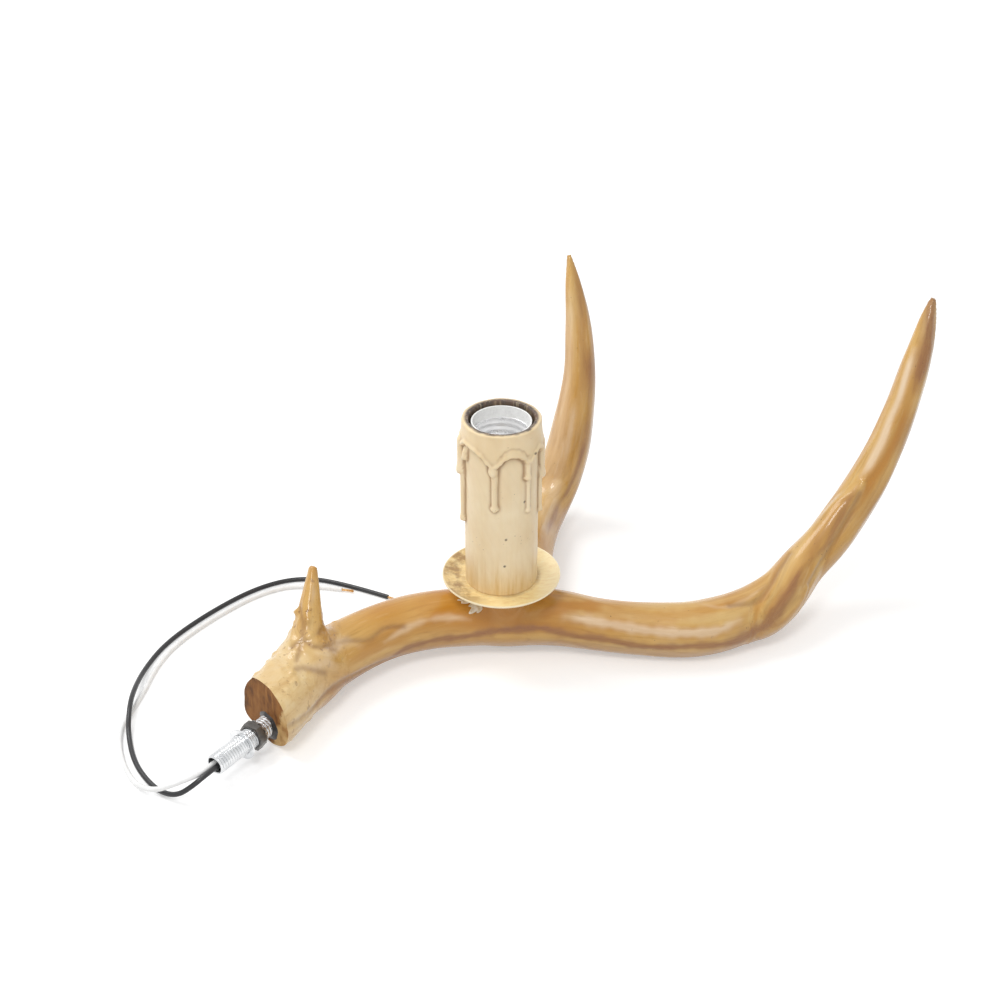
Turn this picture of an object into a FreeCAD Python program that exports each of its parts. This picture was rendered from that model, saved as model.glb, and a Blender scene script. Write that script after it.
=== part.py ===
import FreeCAD, Part
import math
import os
import Sketcher
from FreeCAD import Placement, Rotation, Vector

# One arm of an antler chandelier, lying on a bench with its candle upright.
# A cast resin antler carries a drip tray, a resin candle sleeve and a screw lampholder.
# A threaded tube in its sawn base takes the arm into the chandelier's hub.
# Millimetres, +Z up. The origin is the middle of the arm's footprint, on the bench.

doc = FreeCAD.newDocument("AntlerArm")
sheet = doc.addObject("Spreadsheet::Sheet", "Sizes")

# Driving dimensions: name, value, and what it is.
DIMENSIONS = [
    ("candle_x", -41.6, "candle axis from the origin"),
    ("candle_y", -18.3, "candle axis from the origin"),
    ("beam_thickness", 29.0, "antler beam across, under the candle"),
    ("hub_bearing", 234.0, "degrees from +X to the nipple's outward axis"),
    ("hub_height", 11.1, "nipple axis above the bench"),
    ("hub_aside", 0.4, "nipple axis from the middle of the sawn base, to its right"),
    ("nipple_diameter", 10.0, "M10 lamp thread, over its crests"),
    ("thread_depth", 0.3, "crest to pitch line, where a nut or glue fills the thread"),
    ("nipple_bore", 7.8, "bore of the threaded tubes"),
    ("nipple_outside", 36.6, "hub nipple standing out of the base"),
    ("nipple_inside", 20.0, "hub nipple sunk into the base"),
    ("glue_gap", 0.1, "glue line round a fixed nipple"),
    ("running_gap", 0.08, "radial clearance of parts that turn or slide"),
    ("hole_gap", 0.1, "radial clearance of a screw, rivet or strand in its hole"),
    ("lock_washer_seat", 7.0, "base face to lock washer"),
    ("lock_washer_thickness", 1.2, ""),
    ("lock_washer_ring", 0.7, "width of its plain ring"),
    ("lock_washer_tooth", 0.7, "length of a tooth"),
    ("lock_washer_teeth", 10, "number of teeth"),
    ("tooth_width", 1.8, ""),
    ("nut_gap", 0.1, "washer face to nut face"),
    ("hub_nut_thickness", 4.2, ""),
    ("hub_nut_wall", 1.6, "bore to flat"),
    ("flat_washer_seat", 17.8, "base face to flat washer"),
    ("flat_washer_thickness", 0.8, ""),
    ("flat_washer_width", 2.7, "bore to edge"),
    ("bare_thread", 17.4, "outer stretch of the nipple that the chandelier's hub takes"),
    ("hub_glue_width", 4.0, "glue ring round the nipple on the base face"),
    ("hub_glue_thickness", 1.2, ""),
    ("beam_rise", 3.1, "beam's underside above the bench, under the candle"),
    ("boss_height", 9.5, "beam's top to the tray"),
    ("boss_root", 9.1, "boss cone sunk into the beam"),
    ("boss_foot_diameter", 27.0, ""),
    ("boss_top_diameter", 19.0, ""),
    ("channel_diameter", 7.0, "wire channel through the antler"),
    ("tray_thickness", 1.0, "sheet of the tray"),
    ("tray_diameter", 58.5, "over the rolled rim"),
    ("tray_margin", 2.3, "flat middle of the tray beyond the sleeve"),
    ("tray_depth", 1.9, "rim above the floor"),
    ("tray_lip", 1.6, "width of the rolled rim"),
    ("glue_bead", 4.0, "glue fillet under the tray"),
    ("stem_sunk", 11.6, "stem nipple below the tray floor"),
    ("stem_standing", 12.4, "stem nipple above the tray floor"),
    ("stem_washer_width", 4.9, "bore to edge"),
    ("stem_washer_thickness", 1.0, ""),
    ("stem_nut_thickness", 3.5, ""),
    ("stem_nut_wall", 1.7, "bore to flat"),
    ("bracket_sheet", 1.5, "thickness of the lampholder bracket"),
    ("bracket_width", 9.0, ""),
    ("bracket_disc_width", 3.4, "stem hole to the edge of the bracket's disc"),
    ("bracket_inset", 1.5, "bracket's outer face inside the lampholder's side"),
    ("bracket_screw_diameter", 3.0, ""),
    ("bracket_screw_depth", 6.0, "in the lampholder's floor"),
    ("bracket_screw_head", 5.6, ""),
    ("bracket_screw_head_thickness", 1.8, ""),
    ("bracket_screw_gap", 0.3, "screw head to the bracket's leg"),
    ("bracket_tab_end", 1.6, "bracket's top tab to the line terminal's tab"),
    ("holder_lift", 40.4, "lampholder base above the tray floor"),
    ("holder_height", 48.3, ""),
    ("holder_wall", 0.85, "lampholder's side"),
    ("holder_floor", 8.0, "thickness of the lampholder's floor"),
    ("shell_bore", 26.6, "screw shell bore, for a 26 mm screw cap"),
    ("shell_sheet", 0.3, ""),
    ("shell_length", 34.5, ""),
    ("shell_mouth", 15.0, "hole in the screw shell's floor"),
    ("shell_step", 0.7, "shell's bottom narrower than its thread, on the radius"),
    ("shell_step_height", 5.2, "narrow bottom of the shell"),
    ("shell_step_slope", 1.0, "cone up to the thread"),
    ("shell_play", 0.05, "radial gap between shell and lampholder"),
    ("plunger_diameter", 3.6, "stem of the centre contact"),
    ("plunger_head_diameter", 6.4, ""),
    ("plunger_head_thickness", 1.5, ""),
    ("plunger_rise", 2.5, "head's underside above the lampholder floor"),
    ("plunger_tail", 2.0, "stem below the lampholder floor's underside"),
    ("spring_gap", 0.3, "spring to plunger stem inside"),
    ("spring_wire", 0.9, "radial thickness of the spring"),
    ("spring_play", 0.5, "spring to recess outside"),
    ("spring_recess_depth", 2.5, ""),
    ("tab_sheet", 0.6, "thickness of the terminal tabs"),
    ("terminal_y", 6.5, "terminal blocks either side of the candle axis"),
    ("terminal_side", 5.0, ""),
    ("terminal_height", 6.4, "block below its tab"),
    ("terminal_screw_diameter", 2.6, ""),
    ("terminal_screw_head", 4.0, ""),
    ("terminal_screw_head_thickness", 1.2, ""),
    ("rivet_diameter", 2.0, ""),
    ("rivet_head", 2.8, ""),
    ("rivet_head_thickness", 0.6, ""),
    ("rivet_edge", 0.1, "rivet tail to the block beside it"),
    ("rivet_room", 0.3, "shell rivet's head to the shell's side"),
    ("tab_border", 1.0, "tab beyond its contact hole"),
    ("rivet_border", 0.7, "tab beyond its rivet hole"),
    ("line_rivet_side", 1.607, "line rivet beside the candle axis"),
    ("line_rivet_x", 0.9, "line rivet further from its block"),
    ("line_rivet_y", 1.1, "line rivet nearer the contact than its block's middle"),
    ("shell_rivet_y", 2.9, "shell rivet from the candle axis"),
    ("sleeve_height", 90.4, ""),
    ("sleeve_gap", 1.25, "lampholder to sleeve"),
    ("sleeve_wall", 1.95, "plain lower body"),
    ("sleeve_rim_wall", 2.85, ""),
    ("collar_wall", 4.65, "wax collar under the rim"),
    ("collar_depth", 14.4, "rim to the collar's lower edge"),
    ("lead_diameter", 2.5, "insulated lead wire"),
    ("lead_spread", 2.7, "between the two leads' axes"),
    ("strand_diameter", 1.3, "bare copper strands"),
    ("strand_length", 6.5, "stripped end on the bench"),
    ("terminal_strand_length", 5.0, "stripped end in its terminal"),
    ("strand_hole_gap", 0.35, "strands to the hole in the terminal"),
]
for row, (alias, amount, meaning) in enumerate(DIMENSIONS, start=1):
    sheet.set(f"A{row}", alias)
    sheet.set(f"B{row}", str(amount))
    sheet.setAlias(f"B{row}", alias)
    sheet.set(f"C{row}", meaning)
doc.recompute()


def size(alias):
    """The value of one cell of the sheet."""
    return float(sheet.get(alias))


# The antler's middle line, from the candle's foot. Each station has its place along X and Y,
# its height above the middle line of a beam that lies flat on the bench, and the antler's
# thickness there as a share of the beam's. Beam: sawn base, bend, then its rising tip.
BEAM = [
    (-109.7, -76.7, 3.0, 1.17),
    (-103.9, -64.7, 3.0, 1.16),
    (-97.9, -52.9, 3.0, 1.13),
    (-88.9, -40.1, 3.1, 1.08),
    (-74.9, -26.2, 3.5, 1.01),
    (-59.3, -14.2, 3.8, 0.99),
    (-34.3, -3.7, 3.8, 1.01),
    (-15.8, -0.7, 3.5, 1.01),
    (1.8, -0.2, 3.1, 1.00),
    (29.5, 0.1, 2.0, 0.97),
    (48.8, -3.3, 0.7, 0.91),
    (69.6, -5.6, -0.1, 0.92),
    (100.3, -5.2, -0.4, 0.97),
    (119.7, 2.7, 0.1, 0.95),
    (141.1, 17.4, 3.3, 0.90),
    (155.9, 32.0, 12.5, 0.78),
    (168.2, 40.8, 21.5, 0.76),
    (178.3, 49.1, 32.5, 0.75),
    (191.1, 56.9, 53.5, 0.68),
    (198.3, 61.7, 69.5, 0.62),
    (203.4, 65.8, 84.5, 0.57),
    (210.1, 72.5, 111.5, 0.46),
    (215.0, 79.0, 134.5, 0.22),
    (216.5, 81.3, 141.0, 0.04),
]
# The tine behind the candle: low along the bench, then up.
BACK_TINE = [
    (3.0, 6.0, 2.5, 0.80),
    (9.5, 22.0, 1.7, 0.84),
    (12.5, 42.0, 0.5, 0.87),
    (15.5, 66.0, -0.9, 0.86),
    (19.3, 90.0, -1.8, 0.86),
    (25.0, 109.0, 1.0, 0.86),
    (31.3, 118.3, 11.5, 0.85),
    (36.3, 120.6, 27.5, 0.82),
    (39.9, 123.6, 47.5, 0.75),
    (42.6, 129.0, 71.5, 0.60),
    (41.6, 135.2, 97.5, 0.47),
    (38.2, 141.5, 122.5, 0.27),
    (36.1, 145.4, 135.5, 0.04),
]
# The short brow tine near the base.
BROW_TINE = [
    (-94.3, -47.5, 3.5, 0.88),
    (-93.6, -42.5, 15.5, 0.74),
    (-92.3, -36.8, 25.5, 0.49),
    (-91.2, -29.4, 36.5, 0.30),
    (-90.5, -21.8, 47.0, 0.08),
]

NODES = []
UP = Vector(0, 0, 1)
FOOT = Vector(size("candle_x"), size("candle_y"), 0)
BEARING = math.radians(size("hub_bearing"))
OUTWARD = Vector(math.cos(BEARING), math.sin(BEARING), 0)
TO_THE_RIGHT = Vector(-OUTWARD.y, OUTWARD.x, 0)
HUB = FOOT + Vector(BEAM[0][0], BEAM[0][1], size("hub_height")) + TO_THE_RIGHT * size("hub_aside")


def node(label, shape_object):
    """Names an object as one of the arm's pieces."""
    shape_object.Label = label
    NODES.append(shape_object)
    return shape_object


def on_candle(height, x=0.0, y=0.0):
    """A place on the candle's upright axis, or beside it."""
    return Placement(FOOT + Vector(x, y, height), Rotation())


def on_nipple(distance):
    """A place on the hub nipple's axis, its +Z pointing out of the base."""
    return Placement(HUB + OUTWARD * distance, Rotation(UP, OUTWARD))


def bind(thing, **formulas):
    """Binds properties to the sheet: bind(rod, Radius="Sizes.rod / 2")."""
    for name, formula in formulas.items():
        thing.setExpression(name, formula)
    return thing


def rod(name, diameter, length, place):
    """A round bar from its place along +Z."""
    bar = doc.addObject("Part::Cylinder", name)
    bind(bar, Radius=f"({diameter}) / 2", Height=length)
    bar.Placement = place
    return bar


def block(name, length, width, height, place):
    """A box from its lowest corner."""
    box = doc.addObject("Part::Box", name)
    bind(box, Length=length, Width=width, Height=height)
    box.Placement = place
    return box


def joined(name, pieces):
    whole = doc.addObject("Part::MultiFuse", name)
    whole.Shapes = pieces
    return whole


def cut(name, base, tool):
    rest = doc.addObject("Part::Cut", name)
    rest.Base = base
    rest.Tool = tool
    return rest


def turned(name, outline, place, sweep=360):
    """A piece turned on a lathe: its half outline, as (radius, height) formulas, spun about +Z."""
    body = doc.addObject("PartDesign::Body", name)
    plane = next(item for item in body.Origin.OriginFeatures if item.Role == "XZ_Plane")
    sketch = body.newObject("Sketcher::SketchObject", name + "_outline")
    sketch.AttachmentSupport = (plane, [""])
    sketch.MapMode = "FlatFace"
    count = len(outline)
    # The corners start on a circle, and the bound distances move them to their places.
    start = [Vector(20 + 9 * math.cos(2 * math.pi * i / count), 20 + 9 * math.sin(2 * math.pi * i / count), 0)
             for i in range(count)]
    for i in range(count):
        sketch.addGeometry(Part.LineSegment(start[i], start[(i + 1) % count]), False)
    for i in range(count):
        sketch.addConstraint(Sketcher.Constraint("Coincident", i, 2, (i + 1) % count, 1))
    for i, (radius, height) in enumerate(outline):
        across = ("DistanceX", radius, start[i].x, -2)
        upward = ("DistanceY", height, start[i].y, -1)
        for kind, formula, now, axis in (across, upward):
            if formula == "0":
                sketch.addConstraint(Sketcher.Constraint("PointOnObject", i, 1, axis))
                continue
            number = sketch.addConstraint(Sketcher.Constraint(kind, -1, 1, i, 1, now))
            sketch.setExpression(f"Constraints[{number}]", formula)
    spin = body.newObject("PartDesign::Revolution", name + "_spin")
    spin.Profile = sketch
    spin.ReferenceAxis = (sketch, ["V_Axis"])
    spin.Angle = sweep
    body.Placement = place
    return body


def washer(name, outer, inner, thickness, place):
    """A flat ring."""
    hole = f"{inner} / 2"
    edge = f"{outer} / 2"
    return turned(name, [(hole, "0"), (edge, "0"), (edge, thickness), (hole, thickness)], place)


def hex_nut(name, wall, thickness, bore, place):
    """A six-sided nut: its wall is from the plain bore to a flat."""
    prism = doc.addObject("Part::Prism", name + "_hexagon")
    prism.Polygon = 6
    bind(prism, Circumradius=f"({bore} / 2 + {wall}) / cos(30)", Height=thickness)
    prism.Placement = place
    hole = rod(name + "_bore", bore, thickness, place)
    return cut(name, prism, hole)


# ---------------------------------------------------------------- paths of leads and channel


def rounded_path(points):
    """Straight runs joined by tangent arcs, each as large as its two runs allow."""
    edges = []
    radii = []
    start = points[0]
    for before, corner, after in zip(points, points[1:], points[2:]):
        back = before - corner
        onward = after - corner
        half_turn = (math.pi - back.getAngle(onward)) / 2
        reach = 0.45 * min(back.Length, onward.Length)
        radius = reach / math.tan(half_turn)
        back.normalize()
        onward.normalize()
        inward = (back + onward).normalize()
        arc_start = corner + back * reach
        arc_end = corner + onward * reach
        arc_middle = corner + inward * (radius / math.cos(half_turn) - radius)
        edges.append(Part.LineSegment(start, arc_start).toShape())
        edges.append(Part.Arc(arc_start, arc_middle, arc_end).toShape())
        radii.append(radius)
        start = arc_end
    edges.append(Part.LineSegment(start, points[-1]).toShape())
    return Part.Wire(edges), radii


def tube(name, points, diameter):
    """A round solid along a rounded path. Its volume is compared with section times length."""
    path, radii = rounded_path(points)
    ring = Part.Wire([Part.Circle(points[0], points[1] - points[0], diameter / 2).toShape()])
    solid = path.makePipeShell([ring], True, False)
    expected = math.pi * diameter ** 2 / 4 * path.Length
    if abs(solid.Volume / expected - 1) > 0.002:
        raise ValueError(f"{name}: swept volume {solid.Volume:.1f} is not {expected:.1f}")
    print(f"{name}: {path.Length:.1f} mm long, radii " + ", ".join(f"{radius:.1f}" for radius in radii))
    piece = doc.addObject("Part::Feature", name)
    piece.Shape = solid
    return piece


def beside(points, offset):
    """The same route moved sideways: to its left where the offset is positive."""
    moved = []
    left = None
    for i, point in enumerate(points):
        ahead = points[min(i + 1, len(points) - 1)] - points[max(i - 1, 0)]
        level = Vector(ahead.x, ahead.y, 0)
        if level.Length > 1:
            level.normalize()
            left = Vector(-level.y, level.x, 0)
        moved.append(point + left * offset)
    return moved


def from_candle(*points):
    return [FOOT + Vector(*point) for point in points]


# ---------------------------------------------------------------- resin antler


def limb(name, stations, facing, first=None):
    """A smooth loft through round sections square to the middle line.

    facing is a direction that the line never runs along: it keeps the sections untwisted.
    first turns the first section square to a direction of its own.
    """
    flat_middle = Vector(0, 0, size("beam_thickness") / 2)
    middles = [place + flat_middle for place in from_candle(*[station[:3] for station in stations])]
    rings = []
    for i, middle in enumerate(middles):
        ahead = middles[min(i + 1, len(middles) - 1)] - middles[max(i - 1, 0)]
        if i == 0 and first:
            ahead = first
        ring = doc.addObject("Part::Circle", f"{name}_ring_{i}")
        bind(ring, Radius=f"Sizes.beam_thickness / 2 * {stations[i][3]}")
        ring.Placement = Placement(middle, Rotation(facing, Vector(), ahead, "ZXY"))
        rings.append(ring)
    loft = doc.addObject("Part::Loft", name)
    loft.Sections = rings
    loft.Solid = True
    return loft


beam = limb("beam", BEAM, Vector(-0.5, 0.7, -0.5), first=OUTWARD * -1)
back_tine = limb("back_tine", BACK_TINE, Vector(1, 0, 0))
brow_tine = limb("brow_tine", BROW_TINE, Vector(1, 0, 0))

tray_underside = size("beam_rise") + size("beam_thickness") + size("boss_height")
tray_floor = tray_underside + size("tray_thickness")
boss = doc.addObject("Part::Cone", "boss")
bind(boss,
     Radius1="Sizes.boss_foot_diameter / 2",
     Radius2="Sizes.boss_top_diameter / 2",
     Height="Sizes.boss_height + Sizes.boss_root")
boss.Placement = on_candle(tray_underside - size("boss_height") - size("boss_root"))

# The wire channel runs from the hub nipple's inner end to the stem nipple.
nipple_mouth = HUB + OUTWARD * size("nipple_outside")
nipple_end = HUB - OUTWARD * size("nipple_inside")
CHANNEL = from_candle(
    (-86.0, -44.5, 13.8),
    (-73.0, -28.0, 17.0),
    (-54.5, -13.0, 18.0),
    (-36.0, -4.5, 18.0),
    (-20.0, -0.8, 17.8),
    (0.0, 0.0, 17.8),
)
stem_top = FOOT + Vector(0, 0, tray_floor + size("stem_standing"))
channel = tube("channel", [nipple_mouth, nipple_end] + CHANNEL + [stem_top], size("channel_diameter"))
socket_diameter = "Sizes.nipple_diameter - 2 * Sizes.thread_depth + 2 * Sizes.glue_gap"
nipple_socket = rod("nipple_socket", socket_diameter, "Sizes.nipple_inside", on_nipple(-size("nipple_inside")))
stem_foot = tray_floor - size("stem_sunk")
stem_socket = rod("stem_socket", socket_diameter, "Sizes.stem_sunk", on_candle(stem_foot))
antler = joined("antler", [beam, back_tine, brow_tine, boss])
hollows = joined("hollows", [channel, nipple_socket, stem_socket])
node("antler_casting", cut("antler_casting", antler, hollows))

# ---------------------------------------------------------------- hub hardware

# A thread that a nut or glue fills is a plain cylinder at its pitch line; the bare outer
# stretch, which takes the chandelier's hub, is a cylinder over its crests.
thread_radius = "(Sizes.nipple_diameter / 2 - Sizes.thread_depth)"
nipple_length = "Sizes.nipple_inside + Sizes.nipple_outside"
node("hub_nipple", turned("hub_nipple", [
    ("Sizes.nipple_bore / 2", "0"),
    (thread_radius, "0"),
    (thread_radius, f"{nipple_length} - Sizes.bare_thread"),
    ("Sizes.nipple_diameter / 2", f"{nipple_length} - Sizes.bare_thread"),
    ("Sizes.nipple_diameter / 2", nipple_length),
    ("Sizes.nipple_bore / 2", nipple_length),
], on_nipple(-size("nipple_inside"))))
node("hub_glue", turned("hub_glue", [
    (thread_radius, "0"),
    ("Sizes.nipple_diameter / 2 + Sizes.hub_glue_width", "0"),
    (thread_radius, "Sizes.hub_glue_thickness"),
], on_nipple(0)))

loose_bore = "(Sizes.nipple_diameter + 2 * Sizes.running_gap)"
nut_bore = f"(2 * {thread_radius} + 2 * Sizes.running_gap)"
ring_edge = f"({loose_bore} + 2 * Sizes.lock_washer_ring)"
lock_washer_place = on_nipple(size("lock_washer_seat"))
teeth = [rod("lock_washer_disc", ring_edge, "Sizes.lock_washer_thickness", lock_washer_place)]
for number in range(int(size("lock_washer_teeth"))):
    tooth = block(f"tooth_{number}", f"{ring_edge} / 2 + Sizes.lock_washer_tooth", "Sizes.tooth_width",
                  "Sizes.lock_washer_thickness", Placement())
    turn = Placement(Vector(), Rotation(UP, 360 * number / size("lock_washer_teeth")))
    centred = Placement(Vector(0, -size("tooth_width") / 2, 0), Rotation())
    tooth.Placement = lock_washer_place * turn * centred
    teeth.append(tooth)
lock_washer_bore = rod("lock_washer_bore", loose_bore, "Sizes.lock_washer_thickness", lock_washer_place)
node("hub_lock_washer", cut("hub_lock_washer", joined("toothed_disc", teeth), lock_washer_bore))

nut_seat = size("lock_washer_seat") + size("lock_washer_thickness") + size("nut_gap")
node("hub_hex_nut", hex_nut("hub_hex_nut", "Sizes.hub_nut_wall", "Sizes.hub_nut_thickness", nut_bore,
                            on_nipple(nut_seat)))
node("hub_flat_washer", washer("hub_flat_washer", f"({loose_bore} + 2 * Sizes.flat_washer_width)", loose_bore,
                               "Sizes.flat_washer_thickness", on_nipple(size("flat_washer_seat"))))

# ---------------------------------------------------------------- tray and stem

holder_radius = "(Sizes.shell_bore / 2 + Sizes.shell_sheet + Sizes.shell_play + Sizes.holder_wall)"
sleeve_inside = f"({holder_radius} + Sizes.sleeve_gap)"
tray_flat = f"{sleeve_inside} + Sizes.sleeve_wall + Sizes.tray_margin"
# Heights in the tray's outline start at its underside.
tray_rim = "Sizes.tray_diameter / 2"
node("drip_tray", turned("drip_tray", [
    ("Sizes.nipple_diameter / 2 + Sizes.glue_gap", "0"),
    (tray_flat, "0"),
    (f"{tray_rim} - Sizes.tray_lip", "Sizes.tray_depth / 2"),
    (tray_rim, "Sizes.tray_depth"),
    (tray_rim, "Sizes.tray_depth + Sizes.tray_thickness"),
    (f"{tray_rim} - Sizes.tray_lip", "Sizes.tray_depth + Sizes.tray_thickness"),
    (f"{tray_rim} - 2 * Sizes.tray_lip", "Sizes.tray_depth / 2 + Sizes.tray_thickness"),
    (tray_flat, "Sizes.tray_thickness"),
    ("Sizes.nipple_diameter / 2 + Sizes.glue_gap", "Sizes.tray_thickness"),
], on_candle(tray_underside)))

# A fillet of glue on the left of the boss, as wide as it is deep, down the boss's slope.
GLUE_START = 175.0
GLUE_SWEEP = 75.0
boss_slope = "(Sizes.boss_foot_diameter - Sizes.boss_top_diameter) / 2 / (Sizes.boss_height + Sizes.boss_root)"
node("tray_glue", turned("tray_glue", [
    ("Sizes.boss_top_diameter / 2", "Sizes.glue_bead"),
    (f"Sizes.boss_top_diameter / 2 + Sizes.glue_bead * {boss_slope}", "0"),
    ("Sizes.boss_top_diameter / 2 + Sizes.glue_bead", "Sizes.glue_bead"),
], Placement(FOOT + Vector(0, 0, tray_underside - size("glue_bead")), Rotation(UP, GLUE_START)), GLUE_SWEEP))

node("stem_nipple", washer("stem_nipple", f"2 * {thread_radius}", "Sizes.nipple_bore",
                           "Sizes.stem_sunk + Sizes.stem_standing", on_candle(stem_foot)))
node("stem_washer", washer("stem_washer", f"({loose_bore} + 2 * Sizes.stem_washer_width)", loose_bore,
                           "Sizes.stem_washer_thickness", on_candle(tray_floor)))
bracket_height = tray_floor + size("stem_washer_thickness")
stem_nut_height = bracket_height + size("bracket_sheet")
node("stem_lock_nut", hex_nut("stem_lock_nut", "Sizes.stem_nut_wall", "Sizes.stem_nut_thickness", nut_bore,
                              on_candle(stem_nut_height)))

# ---------------------------------------------------------------- lampholder and its bracket

holder_base = tray_floor + size("holder_lift")
holder_floor_top = holder_base + size("holder_floor")
holder_side = size("shell_bore") / 2 + size("shell_sheet") + size("shell_play") + size("holder_wall")
bracket_top = holder_base - size("bracket_sheet")
bracket_side = -size("bracket_width") / 2
bracket_inner = holder_side - size("bracket_inset") - size("bracket_sheet")
bracket_screw_x = bracket_inner - size("bracket_screw_gap") - size("bracket_screw_head") / 2
bracket_reach = f"({holder_radius} - Sizes.bracket_inset)"
contact_edge = size("plunger_diameter") / 2 + size("tab_border")
tab_reach = f"({bracket_reach} - Sizes.plunger_diameter / 2 - Sizes.tab_border - Sizes.bracket_tab_end)"
tab_end = contact_edge + size("bracket_tab_end")

bracket_metal = joined("bracket_metal", [
    rod("bracket_disc", f"{loose_bore} + 2 * Sizes.bracket_disc_width", "Sizes.bracket_sheet",
        on_candle(bracket_height)),
    block("bracket_foot", bracket_reach, "Sizes.bracket_width", "Sizes.bracket_sheet",
          on_candle(bracket_height, 0, bracket_side)),
    block("bracket_leg", "Sizes.bracket_sheet", "Sizes.bracket_width",
          "Sizes.holder_lift - Sizes.stem_washer_thickness",
          on_candle(bracket_height, bracket_inner, bracket_side)),
    block("bracket_tab", tab_reach, "Sizes.bracket_width", "Sizes.bracket_sheet",
          on_candle(bracket_top, tab_end, bracket_side)),
])
bracket_holes = joined("bracket_holes", [
    rod("bracket_stem_hole", loose_bore, "Sizes.bracket_sheet", on_candle(bracket_height)),
    rod("bracket_screw_hole", "Sizes.bracket_screw_diameter + 2 * Sizes.hole_gap", "Sizes.bracket_sheet",
        on_candle(bracket_top, bracket_screw_x)),
])
node("socket_bracket", cut("socket_bracket", bracket_metal, bracket_holes))

node("bracket_screw", joined("bracket_screw", [
    rod("bracket_screw_head", "Sizes.bracket_screw_head", "Sizes.bracket_screw_head_thickness",
        on_candle(bracket_top - size("bracket_screw_head_thickness"), bracket_screw_x)),
    rod("bracket_screw_shank", "Sizes.bracket_screw_diameter", "Sizes.bracket_sheet + Sizes.bracket_screw_depth",
        on_candle(bracket_top, bracket_screw_x)),
]))

# Terminals: the black lead's is riveted under the lampholder with a tab to the centre
# contact, the white lead's with a rivet through to the screw shell.
tab_height = holder_base - size("tab_sheet")
block_bottom = tab_height - size("terminal_height")
screw_height = block_bottom + size("terminal_height") / 2
half_block = size("terminal_side") / 2
line_y = -size("terminal_y")
neutral_y = size("terminal_y")
beside_block = half_block + size("rivet_head") / 2 + size("rivet_edge")
rivet_circle = size("shell_bore") / 2 - size("shell_step") - size("rivet_room") - size("rivet_head") / 2
shell_rivet = (-math.sqrt(rivet_circle ** 2 - size("shell_rivet_y") ** 2), size("shell_rivet_y"))
line_rivet = (-size("line_rivet_side"), line_y + size("line_rivet_y"))
line_x = line_rivet[0] - beside_block - size("line_rivet_x")
neutral_x = shell_rivet[0] + beside_block
rivet_hole = "Sizes.rivet_diameter + 2 * Sizes.hole_gap"
plunger_hole = "Sizes.plunger_diameter + 2 * Sizes.running_gap"


def terminal(name, x, y, strips, tab_holes):
    """A brass block with a hole for the strands and one for its screw, and flat tabs over it.

    strips are rectangles (x, y, x, y) and tab_holes are (diameter, (x, y)), from the candle axis.
    """
    metal = [block(name + "_block", "Sizes.terminal_side", "Sizes.terminal_side", "Sizes.terminal_height",
                   on_candle(block_bottom, x - half_block, y - half_block))]
    for i, (left, front, right, back) in enumerate(strips):
        metal.append(block(f"{name}_tab_{i}", str(right - left), str(back - front), "Sizes.tab_sheet",
                           on_candle(tab_height, left, front)))
    screw_place = Placement(FOOT + Vector(x, y, screw_height), Rotation(Vector(0, 1, 0), -90))
    holes = [
        rod(name + "_strand_hole", "Sizes.strand_diameter + 2 * Sizes.strand_hole_gap",
            "Sizes.terminal_strand_length", on_candle(block_bottom, x, y)),
        rod(name + "_screw_hole", "Sizes.terminal_screw_diameter + 2 * Sizes.hole_gap", "Sizes.terminal_side",
            screw_place),
    ]
    for i, (diameter, place) in enumerate(tab_holes):
        holes.append(rod(f"{name}_hole_{i}", diameter, "Sizes.tab_sheet", on_candle(tab_height, *place)))
    return node(name, cut(name, joined(name + "_metal", metal), joined(name + "_holes", holes)))


neutral_left = neutral_x - half_block
rivet_edge = size("rivet_diameter") / 2 + size("rivet_border")
terminal("line_terminal", line_x, line_y, [
    (line_x - half_block, line_y - half_block, contact_edge, line_y + half_block),
    (-contact_edge, line_y - half_block, contact_edge, contact_edge),
], [(plunger_hole, (0, 0)), (rivet_hole, line_rivet)])
terminal("neutral_terminal", neutral_x, neutral_y, [
    (neutral_left, neutral_y - half_block, neutral_x + half_block, neutral_y + half_block),
    (shell_rivet[0] - rivet_edge, shell_rivet[1] - rivet_edge, neutral_left, neutral_y),
], [(rivet_hole, shell_rivet)])

screws = []
for number, (x, y) in enumerate(((line_x, line_y), (neutral_x, neutral_y))):
    tip = Placement(FOOT + Vector(x - size("strand_diameter") / 2, y, screw_height),
                    Rotation(Vector(0, 1, 0), -90))
    head = Placement(tip.Base - Vector(half_block, 0, 0), tip.Rotation)
    screws.append(rod(f"terminal_screw_shank_{number}", "Sizes.terminal_screw_diameter",
                      "Sizes.terminal_side / 2", tip))
    screws.append(rod(f"terminal_screw_head_{number}", "Sizes.terminal_screw_head",
                      "Sizes.terminal_screw_head_thickness", head))
node("terminal_screws", joined("terminal_screws", screws))

rivets = []
for number, (place, seat, seat_height) in enumerate((
        (line_rivet, "Sizes.holder_floor", holder_floor_top),
        (shell_rivet, "Sizes.holder_floor + Sizes.shell_sheet", holder_floor_top + size("shell_sheet")))):
    rivets.append(rod(f"rivet_shank_{number}", "Sizes.rivet_diameter", f"Sizes.tab_sheet + {seat}",
                      on_candle(tab_height, *place)))
    rivets.append(rod(f"rivet_head_{number}", "Sizes.rivet_head", "Sizes.rivet_head_thickness",
                      on_candle(seat_height, *place)))
    rivets.append(rod(f"rivet_tail_{number}", "Sizes.rivet_head", "Sizes.rivet_head_thickness",
                      on_candle(tab_height - size("rivet_head_thickness"), *place)))
node("terminal_rivets", joined("terminal_rivets", rivets))

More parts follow.
